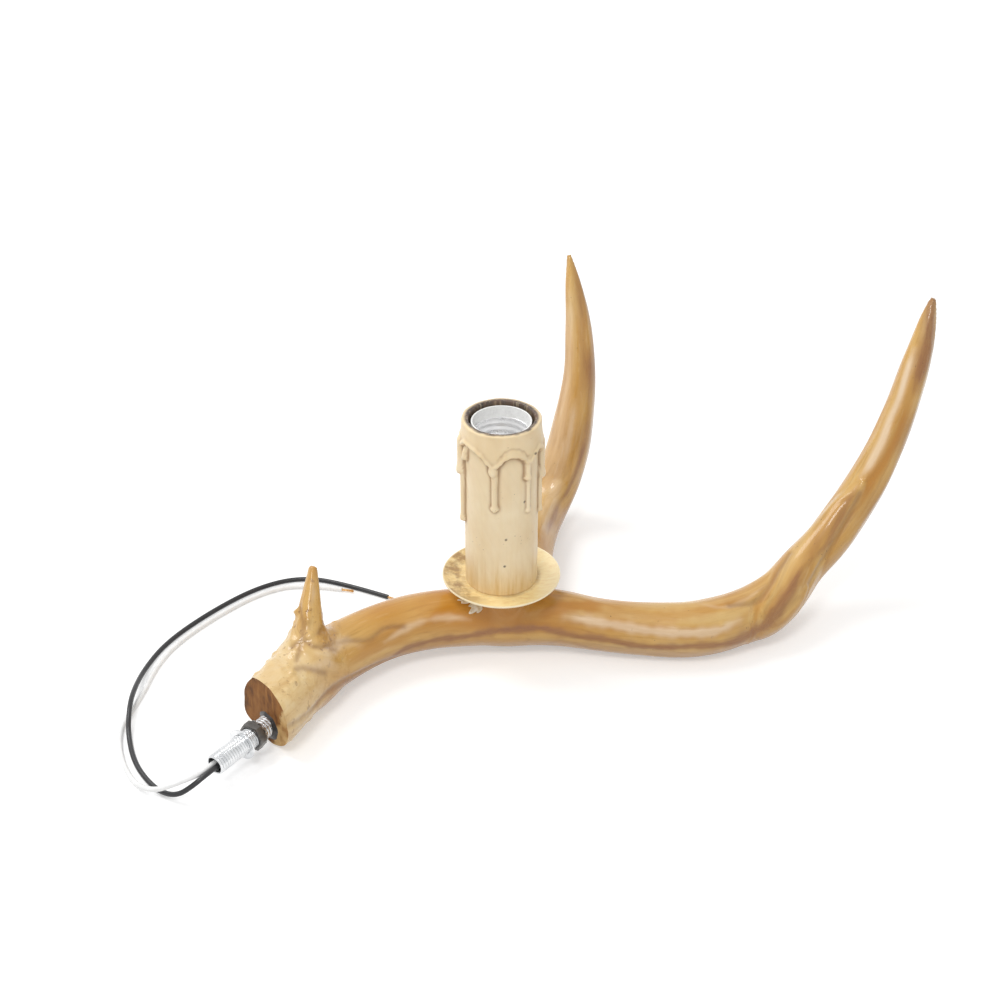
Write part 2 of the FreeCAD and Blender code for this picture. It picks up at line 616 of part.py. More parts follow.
shell_outside = "(Sizes.shell_bore / 2 + Sizes.shell_sheet)"
holder_cup = turned("holder_cup", [
    ("0", "0"),
    (holder_radius, "0"),
    (holder_radius, "Sizes.holder_height"),
    (f"{shell_outside} + Sizes.shell_play", "Sizes.holder_height"),
    (f"{shell_outside} + Sizes.shell_play", "Sizes.holder_floor"),
    ("0", "Sizes.holder_floor"),
], on_candle(holder_base))
spring_inside = "(Sizes.plunger_diameter / 2 + Sizes.spring_gap)"
spring_outside = f"({spring_inside} + Sizes.spring_wire)"
holder_holes = joined("holder_holes", [
    rod("spring_recess", f"2 * ({spring_outside} + Sizes.spring_play)", "Sizes.spring_recess_depth",
        on_candle(holder_floor_top - size("spring_recess_depth"))),
    rod("plunger_hole", plunger_hole, "Sizes.holder_floor", on_candle(holder_base)),
    rod("bracket_screw_bore", "Sizes.bracket_screw_diameter + 2 * Sizes.hole_gap", "Sizes.bracket_screw_depth",
        on_candle(holder_base, bracket_screw_x)),
    rod("shell_rivet_bore", rivet_hole, "Sizes.holder_floor", on_candle(holder_base, *shell_rivet)),
    rod("line_rivet_bore", rivet_hole, "Sizes.holder_floor", on_candle(holder_base, *line_rivet)),
])
node("socket_body", cut("socket_body", holder_cup, holder_holes))

step_top = "Sizes.shell_step_height + Sizes.shell_step_slope"
shell_cup = turned("shell_cup", [
    ("Sizes.shell_mouth / 2", "0"),
    (f"{shell_outside} - Sizes.shell_step", "0"),
    (f"{shell_outside} - Sizes.shell_step", "Sizes.shell_step_height"),
    (shell_outside, step_top),
    (shell_outside, "Sizes.shell_length"),
    ("Sizes.shell_bore / 2", "Sizes.shell_length"),
    ("Sizes.shell_bore / 2", f"{step_top} + Sizes.shell_sheet"),
    ("Sizes.shell_bore / 2 - Sizes.shell_step", "Sizes.shell_step_height + Sizes.shell_sheet"),
    ("Sizes.shell_bore / 2 - Sizes.shell_step", "Sizes.shell_sheet"),
    ("Sizes.shell_mouth / 2", "Sizes.shell_sheet"),
], on_candle(holder_floor_top))
shell_rivet_hole = rod("shell_rivet_hole", rivet_hole, "Sizes.shell_sheet",
                       on_candle(holder_floor_top, *shell_rivet))
node("screw_shell", cut("screw_shell", shell_cup, shell_rivet_hole))

node("centre_contact", joined("centre_contact", [
    rod("plunger_stem", "Sizes.plunger_diameter", "Sizes.plunger_tail + Sizes.holder_floor + Sizes.plunger_rise",
        on_candle(holder_base - size("plunger_tail"))),
    rod("plunger_head", "Sizes.plunger_head_diameter", "Sizes.plunger_head_thickness",
        on_candle(holder_floor_top + size("plunger_rise"))),
]))
node("contact_spring", washer("contact_spring", f"2 * {spring_outside}", f"2 * {spring_inside}",
                              "Sizes.spring_recess_depth + Sizes.plunger_rise",
                              on_candle(holder_floor_top - size("spring_recess_depth"))))

# ---------------------------------------------------------------- candle sleeve

# Wax runs: bearing in degrees, thickness, and how far each hangs below the collar.
WAX_RUNS = [
    (186.0, 4.6, 15.3),
    (190.0, 3.6, 41.5),
    (204.0, 3.2, 5.0),
    (257.0, 4.2, 8.0),
    (258.0, 3.4, 27.5),
    (316.0, 3.8, 13.0),
    (318.0, 2.8, 31.0),
    (356.0, 4.4, 18.0),
    (352.0, 3.0, 36.0),
    (38.0, 4.2, 14.0),
    (82.0, 3.8, 24.0),
    (131.0, 4.2, 12.0),
]
collar_foot = "Sizes.sleeve_height - Sizes.collar_depth"
collar_shoulder = f"{sleeve_inside} + Sizes.sleeve_wall / 4 + Sizes.collar_wall * 3 / 4"
sleeve_blank = turned("sleeve_blank", [
    (sleeve_inside, "0"),
    (f"{sleeve_inside} + Sizes.sleeve_wall", "0"),
    (f"{sleeve_inside} + Sizes.sleeve_wall", collar_foot),
    (collar_shoulder, f"{collar_foot} + Sizes.collar_depth / 10"),
    (f"{sleeve_inside} + Sizes.collar_wall", f"{collar_foot} + Sizes.collar_depth / 3"),
    (f"{sleeve_inside} + Sizes.sleeve_rim_wall", "Sizes.sleeve_height"),
    (sleeve_inside, "Sizes.sleeve_height"),
], on_candle(tray_floor))
sleeve_side = holder_side + size("sleeve_gap") + size("sleeve_wall")
collar_height = tray_floor + size("sleeve_height") - size("collar_depth")
run_root = size("collar_depth") / 3
wax = [sleeve_blank]
for number, (bearing, thickness, hang) in enumerate(WAX_RUNS):
    heading = Vector(math.cos(math.radians(bearing)), math.sin(math.radians(bearing)), 0)
    lower_end = heading * sleeve_side + Vector(0, 0, collar_height - hang + thickness / 2)
    wax.append(rod(f"wax_run_{number}", str(thickness), str(run_root + hang - thickness / 2),
                   on_candle(lower_end.z, lower_end.x, lower_end.y)))
    drop = doc.addObject("Part::Sphere", f"wax_drop_{number}")
    bind(drop, Radius=str(thickness / 2))
    drop.Placement = on_candle(lower_end.z, lower_end.x, lower_end.y)
    wax.append(drop)
sleeve_bore = rod("sleeve_bore", f"2 * {sleeve_inside}", "Sizes.sleeve_height", on_candle(tray_floor))
node("candle_sleeve", cut("candle_sleeve", joined("waxed_sleeve", wax), sleeve_bore))

# ---------------------------------------------------------------- lead wires

# Inside: both leads run side by side from the nipple's mouth, through the antler and the
# stem, and part below the lampholder to their terminals.
half_spread = size("lead_spread") / 2
ABOVE_STEM = Vector(0, 0, 3.0)
BELOW_TERMINAL = Vector(0, 0, 7.0)
for colour, side, block_x in (("black", -1, line_x), ("white", 1, neutral_x)):
    held = beside([nipple_mouth, nipple_end] + CHANNEL + [stem_top + ABOVE_STEM], side * half_spread)
    terminal_foot = FOOT + Vector(block_x, side * size("terminal_y"), block_bottom)
    held += [terminal_foot - BELOW_TERMINAL, terminal_foot]
    node(f"{colour}_lead_inside", tube(f"{colour}_lead_inside", held, size("lead_diameter")))
    node(f"{colour}_lead_terminal_strands",
         rod(f"{colour}_lead_terminal_strands", "Sizes.strand_diameter", "Sizes.terminal_strand_length",
             Placement(terminal_foot, Rotation())))

# Outside: from the nipple's mouth down to the bench and round behind the antler. The white
# lead passes over the black one near the mouth, and under it further on.
lead_radius = size("lead_diameter") / 2
STRAIGHT_EXIT = 8.0
BLACK_ROUTE = from_candle(
    (-139.6, -116.7, 7.8),
    (-146.2, -118.7, 4.1),
    (-153.8, -114.9, 1.9),
    (-162.1, -106.5, lead_radius),
    (-170.9, -92.5, lead_radius),
    (-176.8, -73.8, lead_radius),
    (-177.9, -63.5, 6.8),
    (-178.8, -47.4, 6.8),
    (-177.7, -21.3, lead_radius),
    (-169.7, 1.2, lead_radius),
    (-150.4, 27.6, lead_radius),
    (-128.8, 49.0, lead_radius),
    (-107.8, 57.8, lead_radius),
    (-86.1, 53.1, lead_radius),
    (-59.8, 39.8, lead_radius),
)
WHITE_ROUTE = from_candle(
    (-141.4, -115.9, 11.3),
    (-148.6, -119.4, 10.5),
    (-157.0, -119.2, 7.2),
    (-167.0, -110.0, 2.6),
    (-175.0, -96.0, lead_radius),
    (-180.2, -80.0, lead_radius),
    (-181.3, -66.0, lead_radius),
    (-177.9, -53.5, lead_radius),
    (-174.8, -38.5, lead_radius),
    (-172.4, -21.0, lead_radius),
    (-165.3, -1.4, lead_radius),
    (-147.6, 22.8, lead_radius),
    (-127.1, 43.4, lead_radius),
    (-106.7, 51.7, lead_radius),
    (-84.5, 46.6, lead_radius),
)
for colour, side, route in (("black", 1, BLACK_ROUTE), ("white", -1, WHITE_ROUTE)):
    mouth = nipple_mouth + TO_THE_RIGHT * (side * half_spread)
    points = [mouth, mouth + OUTWARD * STRAIGHT_EXIT] + route
    node(f"{colour}_lead", tube(f"{colour}_lead", points, size("lead_diameter")))
    last_run = points[-1] - points[-2]
    node(f"{colour}_lead_strands", rod(f"{colour}_lead_strands", "Sizes.strand_diameter", "Sizes.strand_length",
                                       Placement(points[-1], Rotation(UP, last_run))))

# ---------------------------------------------------------------- check and write

doc.recompute()
for thing in doc.Objects:
    if "Invalid" in thing.State or "Error" in thing.State:
        raise ValueError(f"{thing.Label} failed: {thing.State}")
for piece in NODES:
    if piece.Shape.isNull() or not piece.Shape.isValid() or not piece.Shape.Solids:
        raise ValueError(f"{piece.Label} has no valid solid")
os.makedirs("parts", exist_ok=True)
for piece in NODES:
    piece.Shape.exportStep(f"parts/{piece.Label}.step")
    print(f"{piece.Label}: {len(piece.Shape.Solids)} solids, {piece.Shape.Volume:.0f} mm3")
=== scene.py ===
import bmesh
import bpy
import numpy as np
from mathutils import Euler, Matrix, Vector


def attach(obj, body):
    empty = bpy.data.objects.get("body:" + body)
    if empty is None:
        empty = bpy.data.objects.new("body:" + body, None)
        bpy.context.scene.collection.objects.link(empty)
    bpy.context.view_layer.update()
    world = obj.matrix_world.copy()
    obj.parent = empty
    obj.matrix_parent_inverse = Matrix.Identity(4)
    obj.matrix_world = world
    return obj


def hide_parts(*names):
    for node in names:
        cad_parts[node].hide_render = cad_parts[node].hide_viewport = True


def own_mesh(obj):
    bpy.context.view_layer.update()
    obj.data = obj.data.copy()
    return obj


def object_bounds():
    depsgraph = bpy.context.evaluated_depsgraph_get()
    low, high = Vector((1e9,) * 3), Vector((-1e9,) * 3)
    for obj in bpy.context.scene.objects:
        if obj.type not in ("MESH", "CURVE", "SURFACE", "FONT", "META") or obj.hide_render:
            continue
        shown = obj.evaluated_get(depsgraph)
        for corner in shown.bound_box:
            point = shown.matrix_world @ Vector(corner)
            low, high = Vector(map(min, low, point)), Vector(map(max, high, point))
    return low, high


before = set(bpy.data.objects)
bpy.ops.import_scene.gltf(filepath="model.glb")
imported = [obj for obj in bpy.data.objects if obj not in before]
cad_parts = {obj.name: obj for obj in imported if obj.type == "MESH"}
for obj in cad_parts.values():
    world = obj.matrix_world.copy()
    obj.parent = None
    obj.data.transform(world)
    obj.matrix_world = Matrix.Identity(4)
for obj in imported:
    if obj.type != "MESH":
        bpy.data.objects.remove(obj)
cadLow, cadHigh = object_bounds()
print("frame loaded:", len(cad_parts), "nodes")

# Lengths below are millimetres in the arm's own frame; a mesh becomes metres as it is made.
millimetre = 0.001
candleFoot = np.array([-41.6, -18.3, 0.0])
hubPoint = np.array([-150.976, -95.235, 11.1])
hubOutward = np.array([-0.587785, -0.809017, 0.0])
hubRight = np.array([0.809017, -0.587785, 0.0])
hubUp = np.array([0.0, 0.0, 1.0])
beamThickness = 29.0
trayUnderside = 41.6
nipple = {"outside": 36.6, "inside": 20.0}

lens = {"place": (-0.0423, -0.75336, 0.5516), "tilt": 57.7, "focal": 64.8, "sensor": 36, "pictureSide": 1000}
studio = {"floorShade": 0.80, "floorLift": 0.375, "fadeFrom": 0.45, "fadeSlope": 0.8, "world": 0.60}
lamps = {"windowLight": {"place": (-0.75, 0.40, 1.25), "size": 0.8, "power": 8.0},
         "ceilingLight": {"place": (-0.30, -0.75, 1.20), "size": 0.42, "power": 5.0}}
lampAim = (0, 0, 0.04)


def inScene(name, data):
    # a new object that holds this data, linked into the scene
    made = bpy.data.objects.new(name, data)
    bpy.context.scene.collection.objects.link(made)
    return made


camera = inScene("camera", bpy.data.cameras.new("camera"))
camera.location = lens["place"]
camera.rotation_euler = Euler((np.radians(lens["tilt"]), 0, 0))
camera.data.lens = lens["focal"]
camera.data.sensor_width = lens["sensor"]
bpy.context.scene.camera = camera


def colour(red, green, blue):
    # screen colour, 0 to 255, to the linear values that a shader takes
    share = np.array([red, green, blue]) / 255
    linear = np.where(share <= 0.04045, share / 12.92, ((share + 0.055) / 1.055) ** 2.4)
    return (*linear.tolist(), 1.0)


def darker(tone, share):
    # a screen colour with only a share of its light
    return (*(share * light for light in colour(*tone)[:3]), 1.0)


def shaderValue(value):
    # a node's output and a shader colour pass as they are; a screen colour and a plain shade become one
    if hasattr(value, "is_output"):
        return value
    if not isinstance(value, tuple):
        return (value, value, value, 1)
    return colour(*value) if len(value) == 3 else value


class Finish:
    # a material whose nodes are added one call at a time; every call gives the new node's output
    def __init__(self, name):
        self.material = bpy.data.materials.new(name)
        self.material.use_nodes = True
        self.tree = self.material.node_tree
        self.shader = self.tree.nodes["Principled BSDF"]

    def put(self, socket, value):
        if hasattr(value, "is_output"):
            self.tree.links.new(value, socket)
        else:
            socket.default_value = value

    def add(self, kind, settings=None, output=0, **inputs):
        made = self.tree.nodes.new(kind)
        for key, value in (settings or {}).items():
            setattr(made, key, value)
        for key, value in inputs.items():
            self.put(made.inputs[key.replace("_", " ")], value)
        return made.outputs[output]

    def set(self, **inputs):
        for key, value in inputs.items():
            self.put(self.shader.inputs[key.replace("_", " ")], value)

    def place(self, scale=(1, 1, 1), turn=(0, 0, 0), shift=(0, 0, 0)):
        spot = self.add("ShaderNodeTexCoord", output=3)
        return self.add("ShaderNodeMapping", Vector=spot, Location=shift, Rotation=turn, Scale=scale)

    def painted(self, name, output=2):
        return self.add("ShaderNodeAttribute", {"attribute_name": name}, output)

    def noise(self, spot, scale, detail=3.0, roughness=0.55, distortion=0.0):
        return self.add("ShaderNodeTexNoise", Vector=spot, Scale=scale, Detail=detail, Roughness=roughness,
                        Distortion=distortion)

    def ramp(self, factor, *stops):
        made = self.tree.nodes.new("ShaderNodeValToRGB")
        self.put(made.inputs["Fac"], factor)
        while len(made.color_ramp.elements) < len(stops):
            made.color_ramp.elements.new(0.5)
        for element, (place, value) in zip(made.color_ramp.elements, stops):
            element.position = place
            element.color = shaderValue(value)
        return made.outputs["Color"]

    def mix(self, factor, first, second):
        made = self.tree.nodes.new("ShaderNodeMix")
        made.data_type = "RGBA"
        self.put(made.inputs["Factor"], factor)
        self.put(made.inputs["A"], shaderValue(first))
        self.put(made.inputs["B"], shaderValue(second))
        return made.outputs["Result"]

    def veil(self, body, tone, source, low, high):
        # a tone laid over the body as strongly as the source's ramp from low to high says
        return self.mix(self.ramp(source, low, high), body, tone)

    def math(self, way, first, second, clamp=False):
        made = self.tree.nodes.new("ShaderNodeMath")
        made.operation = way
        made.use_clamp = clamp
        self.put(made.inputs[0], first)
        self.put(made.inputs[1], second)
        return made.outputs[0]

    def times(self, first, second, clamp=False):
        return self.math("MULTIPLY", first, second, clamp)

    def plus(self, first, second, clamp=False):
        return self.math("ADD", first, second, clamp)

    def bump(self, height, strength, distance):
        return self.add("ShaderNodeBump", Height=height, Strength=strength, Distance=distance)


def whiteFloor():
    # plain diffuse floor that keeps shadows, lifted to white for the eye and for mirrors
    finish = Finish("floorPaper")
    tree = finish.tree
    tree.nodes.remove(finish.shader)
    shade = studio["floorShade"]
    paper = finish.add("ShaderNodeBsdfDiffuse", Color=(shade, shade, shade, 1))
    path = tree.nodes.new("ShaderNodeLightPath")
    seen = finish.math("MAXIMUM", path.outputs["Is Camera Ray"], path.outputs["Is Glossy Ray"])
    seen = finish.math("MAXIMUM", seen, path.outputs["Is Transmission Ray"])
    # far from the object the paper fades to pure white, so that no horizon shows
    afar = finish.add("ShaderNodeVectorMath", {"operation": "LENGTH"}, "Value", Vector=finish.place())
    afar = finish.times(finish.math("SUBTRACT", afar, studio["fadeFrom"]), studio["fadeSlope"], True)
    glow = finish.add("ShaderNodeEmission", Strength=finish.times(seen, finish.plus(afar, studio["floorLift"])))
    both = finish.add("ShaderNodeAddShader")
    tree.links.new(paper, both.node.inputs[0])
    tree.links.new(glow, both.node.inputs[1])
    tree.links.new(both, tree.nodes["Material Output"].inputs["Surface"])
    paperMesh = bpy.data.meshes.new("floor")
    paperMesh.from_pydata([(-6, -6, 0), (6, -6, 0), (6, 6, 0), (-6, 6, 0)], [], [(0, 1, 2, 3)])
    paperMesh.materials.append(finish.material)
    inScene("floor", paperMesh)


def softLight(name, place, size, power):
    lamp = bpy.data.lights.new(name, "AREA")
    lamp.shape = "DISK"
    lamp.size = size
    lamp.energy = power
    holder = inScene(name, lamp)
    holder.location = place
    holder.rotation_euler = (Vector(lampAim) - Vector(place)).to_track_quat("-Z", "Y").to_euler()


def whiteWorld():
    # dim for the object's own light, white for the eye and for mirrors
    world = bpy.data.worlds.new("studio")
    world.use_nodes = True
    nodes, links = world.node_tree.nodes, world.node_tree.links
    surround = nodes["Background"]
    surround.inputs["Color"].default_value = (1, 1, 1, 1)
    path = nodes.new("ShaderNodeLightPath")
    strength = nodes.new("ShaderNodeMapRange")
    strength.inputs["To Min"].default_value = studio["world"]
    strength.inputs["To Max"].default_value = 1.0
    seen = path.outputs["Is Camera Ray"]
    for kindOfRay in ("Is Glossy Ray", "Is Transmission Ray"):
        either = nodes.new("ShaderNodeMath")
        either.operation = "MAXIMUM"
        links.new(seen, either.inputs[0])
        links.new(path.outputs[kindOfRay], either.inputs[1])
        seen = either.outputs[0]
    links.new(seen, strength.inputs["Value"])
    links.new(strength.outputs["Result"], surround.inputs["Strength"])
    bpy.context.scene.world = world


whiteFloor()
for lampName, make in lamps.items():
    softLight(lampName, **make)
whiteWorld()
bpy.context.scene.view_settings.view_transform = "Standard"
print("camera and light placed")


def gridFaces(rows, columns, wrapRows=False, wrapColumns=True):
    # four-sided faces between neighbouring rows and columns of a grid of points
    row, column = np.meshgrid(np.arange(rows if wrapRows else rows - 1),
                              np.arange(columns if wrapColumns else columns - 1), indexing="ij")
    row, column = row.ravel(), column.ravel()
    nextRow, nextColumn = (row + 1) % rows, (column + 1) % columns
    return np.stack([row * columns + column, row * columns + nextColumn,
                     nextRow * columns + nextColumn, nextRow * columns + column], 1)


def cappedFaces(rows, columns):
    # a grid closed at both ends by poles, which are the two points after the grid's own
    here = np.arange(columns)
    ahead = (here + 1) % columns
    last = (rows - 1) * columns
    low = np.stack([ahead, here, np.full(columns, rows * columns)], 1)
    high = np.stack([last + here, last + ahead, np.full(columns, rows * columns + 1)], 1)
    return gridFaces(rows, columns).tolist() + low.tolist() + high.tolist()


def bell(distance, width):
    return np.exp(-(distance / width) ** 2)


def easeStep(value, low, high):
    share = np.clip((value - low) / (high - low), 0, 1)
    return share * share * (3 - 2 * share)


def unit(vectors):
    return vectors / np.linalg.norm(vectors, axis=-1, keepdims=True)


def squareGaps(points, others):
    # squared distance from every point to every one of the others
    return np.maximum((points ** 2).sum(1)[:, None] + (others ** 2).sum(1) - 2 * points @ others.T, 0)


def addPiece(name, points, faces, body, finish, sharp, replaced=None):
    # a mesh that rides on one of the frame's bodies; edges steeper than sharp degrees stay crisp
    mesh = bpy.data.meshes.new(name)
    mesh.from_pydata((np.asarray(points) * millimetre).tolist(), [], faces)
    mesh.update()
    piece = inScene(name, mesh)
    mesh.materials.append(finish.material)
    mesh.shade_smooth()
    mesh.set_sharp_from_angle(angle=np.radians(sharp))
    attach(piece, body)
    if replaced:
        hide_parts(replaced)
    return piece


def turnOutward(piece):
    # faces that a mirrored frame turned inside out are turned outward again
    net = bmesh.new()
    net.from_mesh(piece.data)
    bmesh.ops.recalc_face_normals(net, faces=net.faces[:])
    net.to_mesh(piece.data)
    net.free()


def paint(mesh, name, values):
    # one number, or one vector, a point of the mesh, for its material to read
    plain = values.ndim == 1 or values.shape[-1] != 3
    layer = mesh.attributes.new(name, "FLOAT" if plain else "FLOAT_VECTOR", "POINT")
    layer.data.foreach_set("value" if plain else "vector", values.astype(np.float32).ravel())


def onCandle(radius, angle, height):
    # a place from the candle's upright axis
    return np.stack(np.broadcast_arrays(candleFoot[0] + radius * np.cos(angle),
                                        candleFoot[1] + radius * np.sin(angle), height), -1).reshape(-1, 3)


def onNipple(radius, angle, reach):
    # a place from the hub nipple's axis, reach outward from the sawn base
    across = (radius * np.cos(angle))[..., None] * hubRight + (radius * np.sin(angle))[..., None] * hubUp
    return (hubPoint + across + np.asarray(reach)[..., None] * hubOutward).reshape(-1, 3)


def rowGrid(rows, columns):
    # rows of radius and height, each a number or one value a column, as grids of radius, angle and height
    angle = np.linspace(0, 2 * np.pi, columns, endpoint=False)
    radius = np.array([row[0] + 0 * angle for row in rows])
    height = np.array([row[1] + 0 * angle for row in rows])
    return radius, np.broadcast_to(angle, radius.shape), height


def loopPiece(name, grid, placed, body, finish, sharp, replaced):
    # a closed sheet round an axis: the last row joins the first
    return addPiece(name, placed(*grid), gridFaces(*grid[0].shape, True).tolist(), body, finish, sharp, replaced)


# The routes are the ones of the CAD tubes: mouth of the nipple, straight out, down, and round behind the antler.
leads = {"diameter": 2.5, "spread": 2.7, "straightExit": 8.0, "blackLength": 292.6, "whiteLength": 261.0}
strands = {"reach": 6.5, "covered": -0.16, "wires": 7, "radius": 0.2, "wound": 0.42, "fan": 0.35, "twist": 1.1,
           "rows": 22, "columns": 6}
blackRoute = [(-139.6, -116.7, 7.8), (-146.2, -118.7, 4.1), (-153.8, -114.9, 1.9), (-162.1, -106.5, 1.25),
              (-170.9, -92.5, 1.25), (-176.8, -73.8, 1.25), (-177.9, -63.5, 6.8), (-178.8, -47.4, 6.8),
              (-177.7, -21.3, 1.25), (-169.7, 1.2, 1.25), (-150.4, 27.6, 1.25), (-128.8, 49.0, 1.25),
              (-107.8, 57.8, 1.25), (-86.1, 53.1, 1.25), (-59.8, 39.8, 1.25)]
whiteRoute = [(-141.4, -115.9, 11.3), (-148.6, -119.4, 10.5), (-157.0, -119.2, 7.2), (-167.0, -110.0, 2.6),
              (-175.0, -96.0, 1.25), (-180.2, -80.0, 1.25), (-181.3, -66.0, 1.25), (-177.9, -53.5, 1.25),
              (-174.8, -38.5, 1.25), (-172.4, -21.0, 1.25), (-165.3, -1.4, 1.25), (-147.6, 22.8, 1.25),
              (-127.1, 43.4, 1.25), (-106.7, 51.7, 1.25), (-84.5, 46.6, 1.25)]

# the same two wires inside: through the antler and the stem, then each to its terminal
wireWay = [(-127.6, -62.8, 13.8), (-114.6, -46.3, 16.9), (-96.1, -31.3, 17.9), (-77.6, -23.0, 18.0),
           (-61.6, -19.2, 17.8), (-50.0, -18.5, 17.8), (-43.6, -18.3, 20.6), (-41.6, -18.3, 27.0),
           (-41.6, -18.3, 58.0)]
terminals = {"x": -6.507, "y": 6.5, "height": 76.0, "below": 7.0}


def plasticFinish(name, tone, roughness):
    finish = Finish(name)
    shade = finish.ramp(finish.noise(finish.place(), 240, 4), (0.35, darker(tone, 0.92)), (0.7, tone))
    rough = finish.ramp(finish.noise(finish.place(), 900, 2), (0.3, roughness * 0.8), (0.8, roughness * 1.25))
    finish.set(Base_Color=shade, Roughness=rough,
               Normal=finish.bump(finish.noise(finish.place(), 2600, 2), 0.25, 0.00003))
    return finish


def copperFinish():
    finish = Finish("copper")
    tarnish = finish.noise(finish.place(), 700, 3)
    finish.set(Base_Color=finish.ramp(tarnish, (0.3, (206, 156, 96)), (0.7, (238, 200, 146))),
               Metallic=0.9, Roughness=finish.ramp(tarnish, (0.3, 0.28), (0.8, 0.45)))
    return finish


blackPlastic = plasticFinish("blackInsulation", (44, 44, 46), 0.34)
whitePlastic = plasticFinish("whiteInsulation", (248, 248, 247), 0.32)
copper = copperFinish()


def strandBundle(name, start, ahead):
    # seven wires: one straight in the middle, six wound round it, fanning a little at the cut end
    make, columns = strands, strands["columns"]
    ahead = unit(ahead)
    side = unit(np.cross(ahead, hubUp))
    lift = np.cross(side, ahead)
    wire, step, turn = np.meshgrid(np.arange(make["wires"]), np.linspace(-1.0, 1, make["rows"]),
                                   np.linspace(0, 2 * np.pi, columns, False), indexing="ij")
    reach = make["reach"] * step * (1 - 0.05 * (wire % 3))
    wound = make["wound"] * (wire > 0) * (1 + make["fan"] * np.clip(step, 0, 1) ** 3)
    twist = wire * np.pi / 3 + make["twist"] * step
    across = wound * np.cos(twist) + make["radius"] * np.cos(turn)
    upward = wound * np.sin(twist) + make["radius"] * np.sin(turn)
    points = start + reach[..., None] * ahead + across[..., None] * side + upward[..., None] * lift
    points = points[:, step[0, :, 0] >= make["covered"]]
    rows = points.shape[1]
    faces = []
    for number in range(make["wires"]):
        base, last = number * rows * columns, (number + 1) * rows * columns - 1
        faces += (gridFaces(rows, columns)[:, ::-1] + base).tolist()
        faces += [list(range(base, base + columns)), list(range(last, last - columns, -1))]
    return addPiece(name + "_bare_end", points.reshape(-1, 3), faces, "arm", copper, 60, name + "_strands")


def wireCurve(name, points, finish, replaced):
    # a round tube on one smooth line that the route's points steer
    curve = bpy.data.curves.new(name, "CURVE")
    curve.dimensions = "3D"
    line = curve.splines.new("NURBS")
    line.points.add(len(points) - 1)
    line.points.foreach_set("co", np.column_stack([points * millimetre, np.ones(len(points))]).ravel())
    line.order_u = 3
    line.use_endpoint_u = True
    line.resolution_u = 10
    curve.bevel_depth = leads["diameter"] / 2 * millimetre
    curve.bevel_resolution = 5
    curve.use_fill_caps = True
    curve.materials.append(finish.material)
    piece = inScene(name, curve)
    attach(piece, "arm")
    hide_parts(replaced)
    return piece


def lead(colourName, route, finish, side):
    # the free wire from the nipple's mouth to its bare end
    mouth = hubPoint + nipple["outside"] * hubOutward + side * leads["spread"] / 2 * hubRight
    points = np.vstack([mouth, mouth + leads["straightExit"] * hubOutward, candleFoot + np.array(route)])
    piece = wireCurve(colourName + "_lead_outside", points, finish, colourName + "_lead")
    bare = strandBundle(colourName + "_lead", points[-1], points[-1] - points[-2])


def insideLead(colourName, finish, side):
    way = np.vstack([hubPoint + nipple["outside"] * hubOutward, hubPoint - nipple["inside"] * hubOutward, wireWay])
    ahead = np.gradient(way[:, :2], axis=0)
    ahead[-3:] = ahead[-4]
    ahead = unit(ahead)
    way[:, :2] += side * leads["spread"] / 2 * np.stack([ahead[:, 1], -ahead[:, 0]], 1)
    end = candleFoot + (terminals["x"], -side * terminals["y"], terminals["height"])
    points = np.vstack([way, end - (0, 0, terminals["below"]), end])
    wireCurve(colourName + "_lead_within", points, finish, colourName + "_lead_inside")


lead("black", blackRoute, blackPlastic, 1)
lead("white", whiteRoute, whitePlastic, -1)
insideLead("black", blackPlastic, 1)
insideLead("white", whitePlastic, -1)
print("leads laid")

# Stations of the antler's middle lines from the candle's foot: x, y, height over a flat-lying beam's middle, and
# the thickness as a share of the beam's. They are the CAD's own.
antlerMake = {"spacing": 2.5, "voxel": 0.95, "faceTurn": -14.0, "rounds": 5, "pull": 0.9, "inset": 0.05,
              "domeAngles": [20, 40, 58, 74], "columns": 40}
fillets = {"back": 11.0, "brow": 9.0, "spur": 3.0, "boss": 5.0}
beamStations = [(-113.8, -82.3, 3.0, 1.17), (-109.7, -76.7, 3.0, 1.17), (-103.9, -64.7, 3.0, 1.16),
                (-97.9, -52.9, 3.0, 1.13), (-88.9, -40.1, 3.1, 1.08), (-74.9, -26.2, 3.5, 1.01),
                (-59.3, -14.2, 3.8, 0.99), (-34.3, -3.7, 3.8, 1.01), (-15.8, -0.7, 3.5, 1.01),
                (1.8, -0.2, 3.1, 1.00), (29.5, 0.1, 2.0, 0.97), (48.8, -3.3, 0.7, 0.91), (69.6, -5.6, -0.1, 0.92),
                (100.3, -5.2, -0.4, 0.97), (119.7, 2.7, 0.1, 0.95), (141.1, 17.4, 3.3, 0.90),
                (155.9, 32.0, 12.5, 0.78), (168.2, 40.8, 21.5, 0.76), (178.3, 49.1, 32.5, 0.75),
                (191.1, 56.9, 53.5, 0.68), (198.3, 61.7, 69.5, 0.62), (203.4, 65.8, 84.5, 0.57),
                (210.1, 72.5, 111.5, 0.46), (214.9, 78.9, 134.0, 0.23), (216.0, 80.8, 139.5, 0.11)]
backStations = [(3.0, 6.0, 2.5, 0.80), (9.5, 22.0, 1.7, 0.84), (12.5, 42.0, 0.5, 0.87), (15.5, 66.0, -0.9, 0.86),
                (19.3, 90.0, -1.8, 0.86), (25.0, 109.0, 1.0, 0.86), (31.3, 118.3, 11.5, 0.85),
                (36.3, 120.6, 27.5, 0.82), (39.9, 123.6, 47.5, 0.75), (42.6, 129.0, 71.5, 0.60),
                (41.6, 135.2, 97.5, 0.47), (38.2, 141.5, 122.5, 0.27), (36.3, 145.0, 134.2, 0.09)]
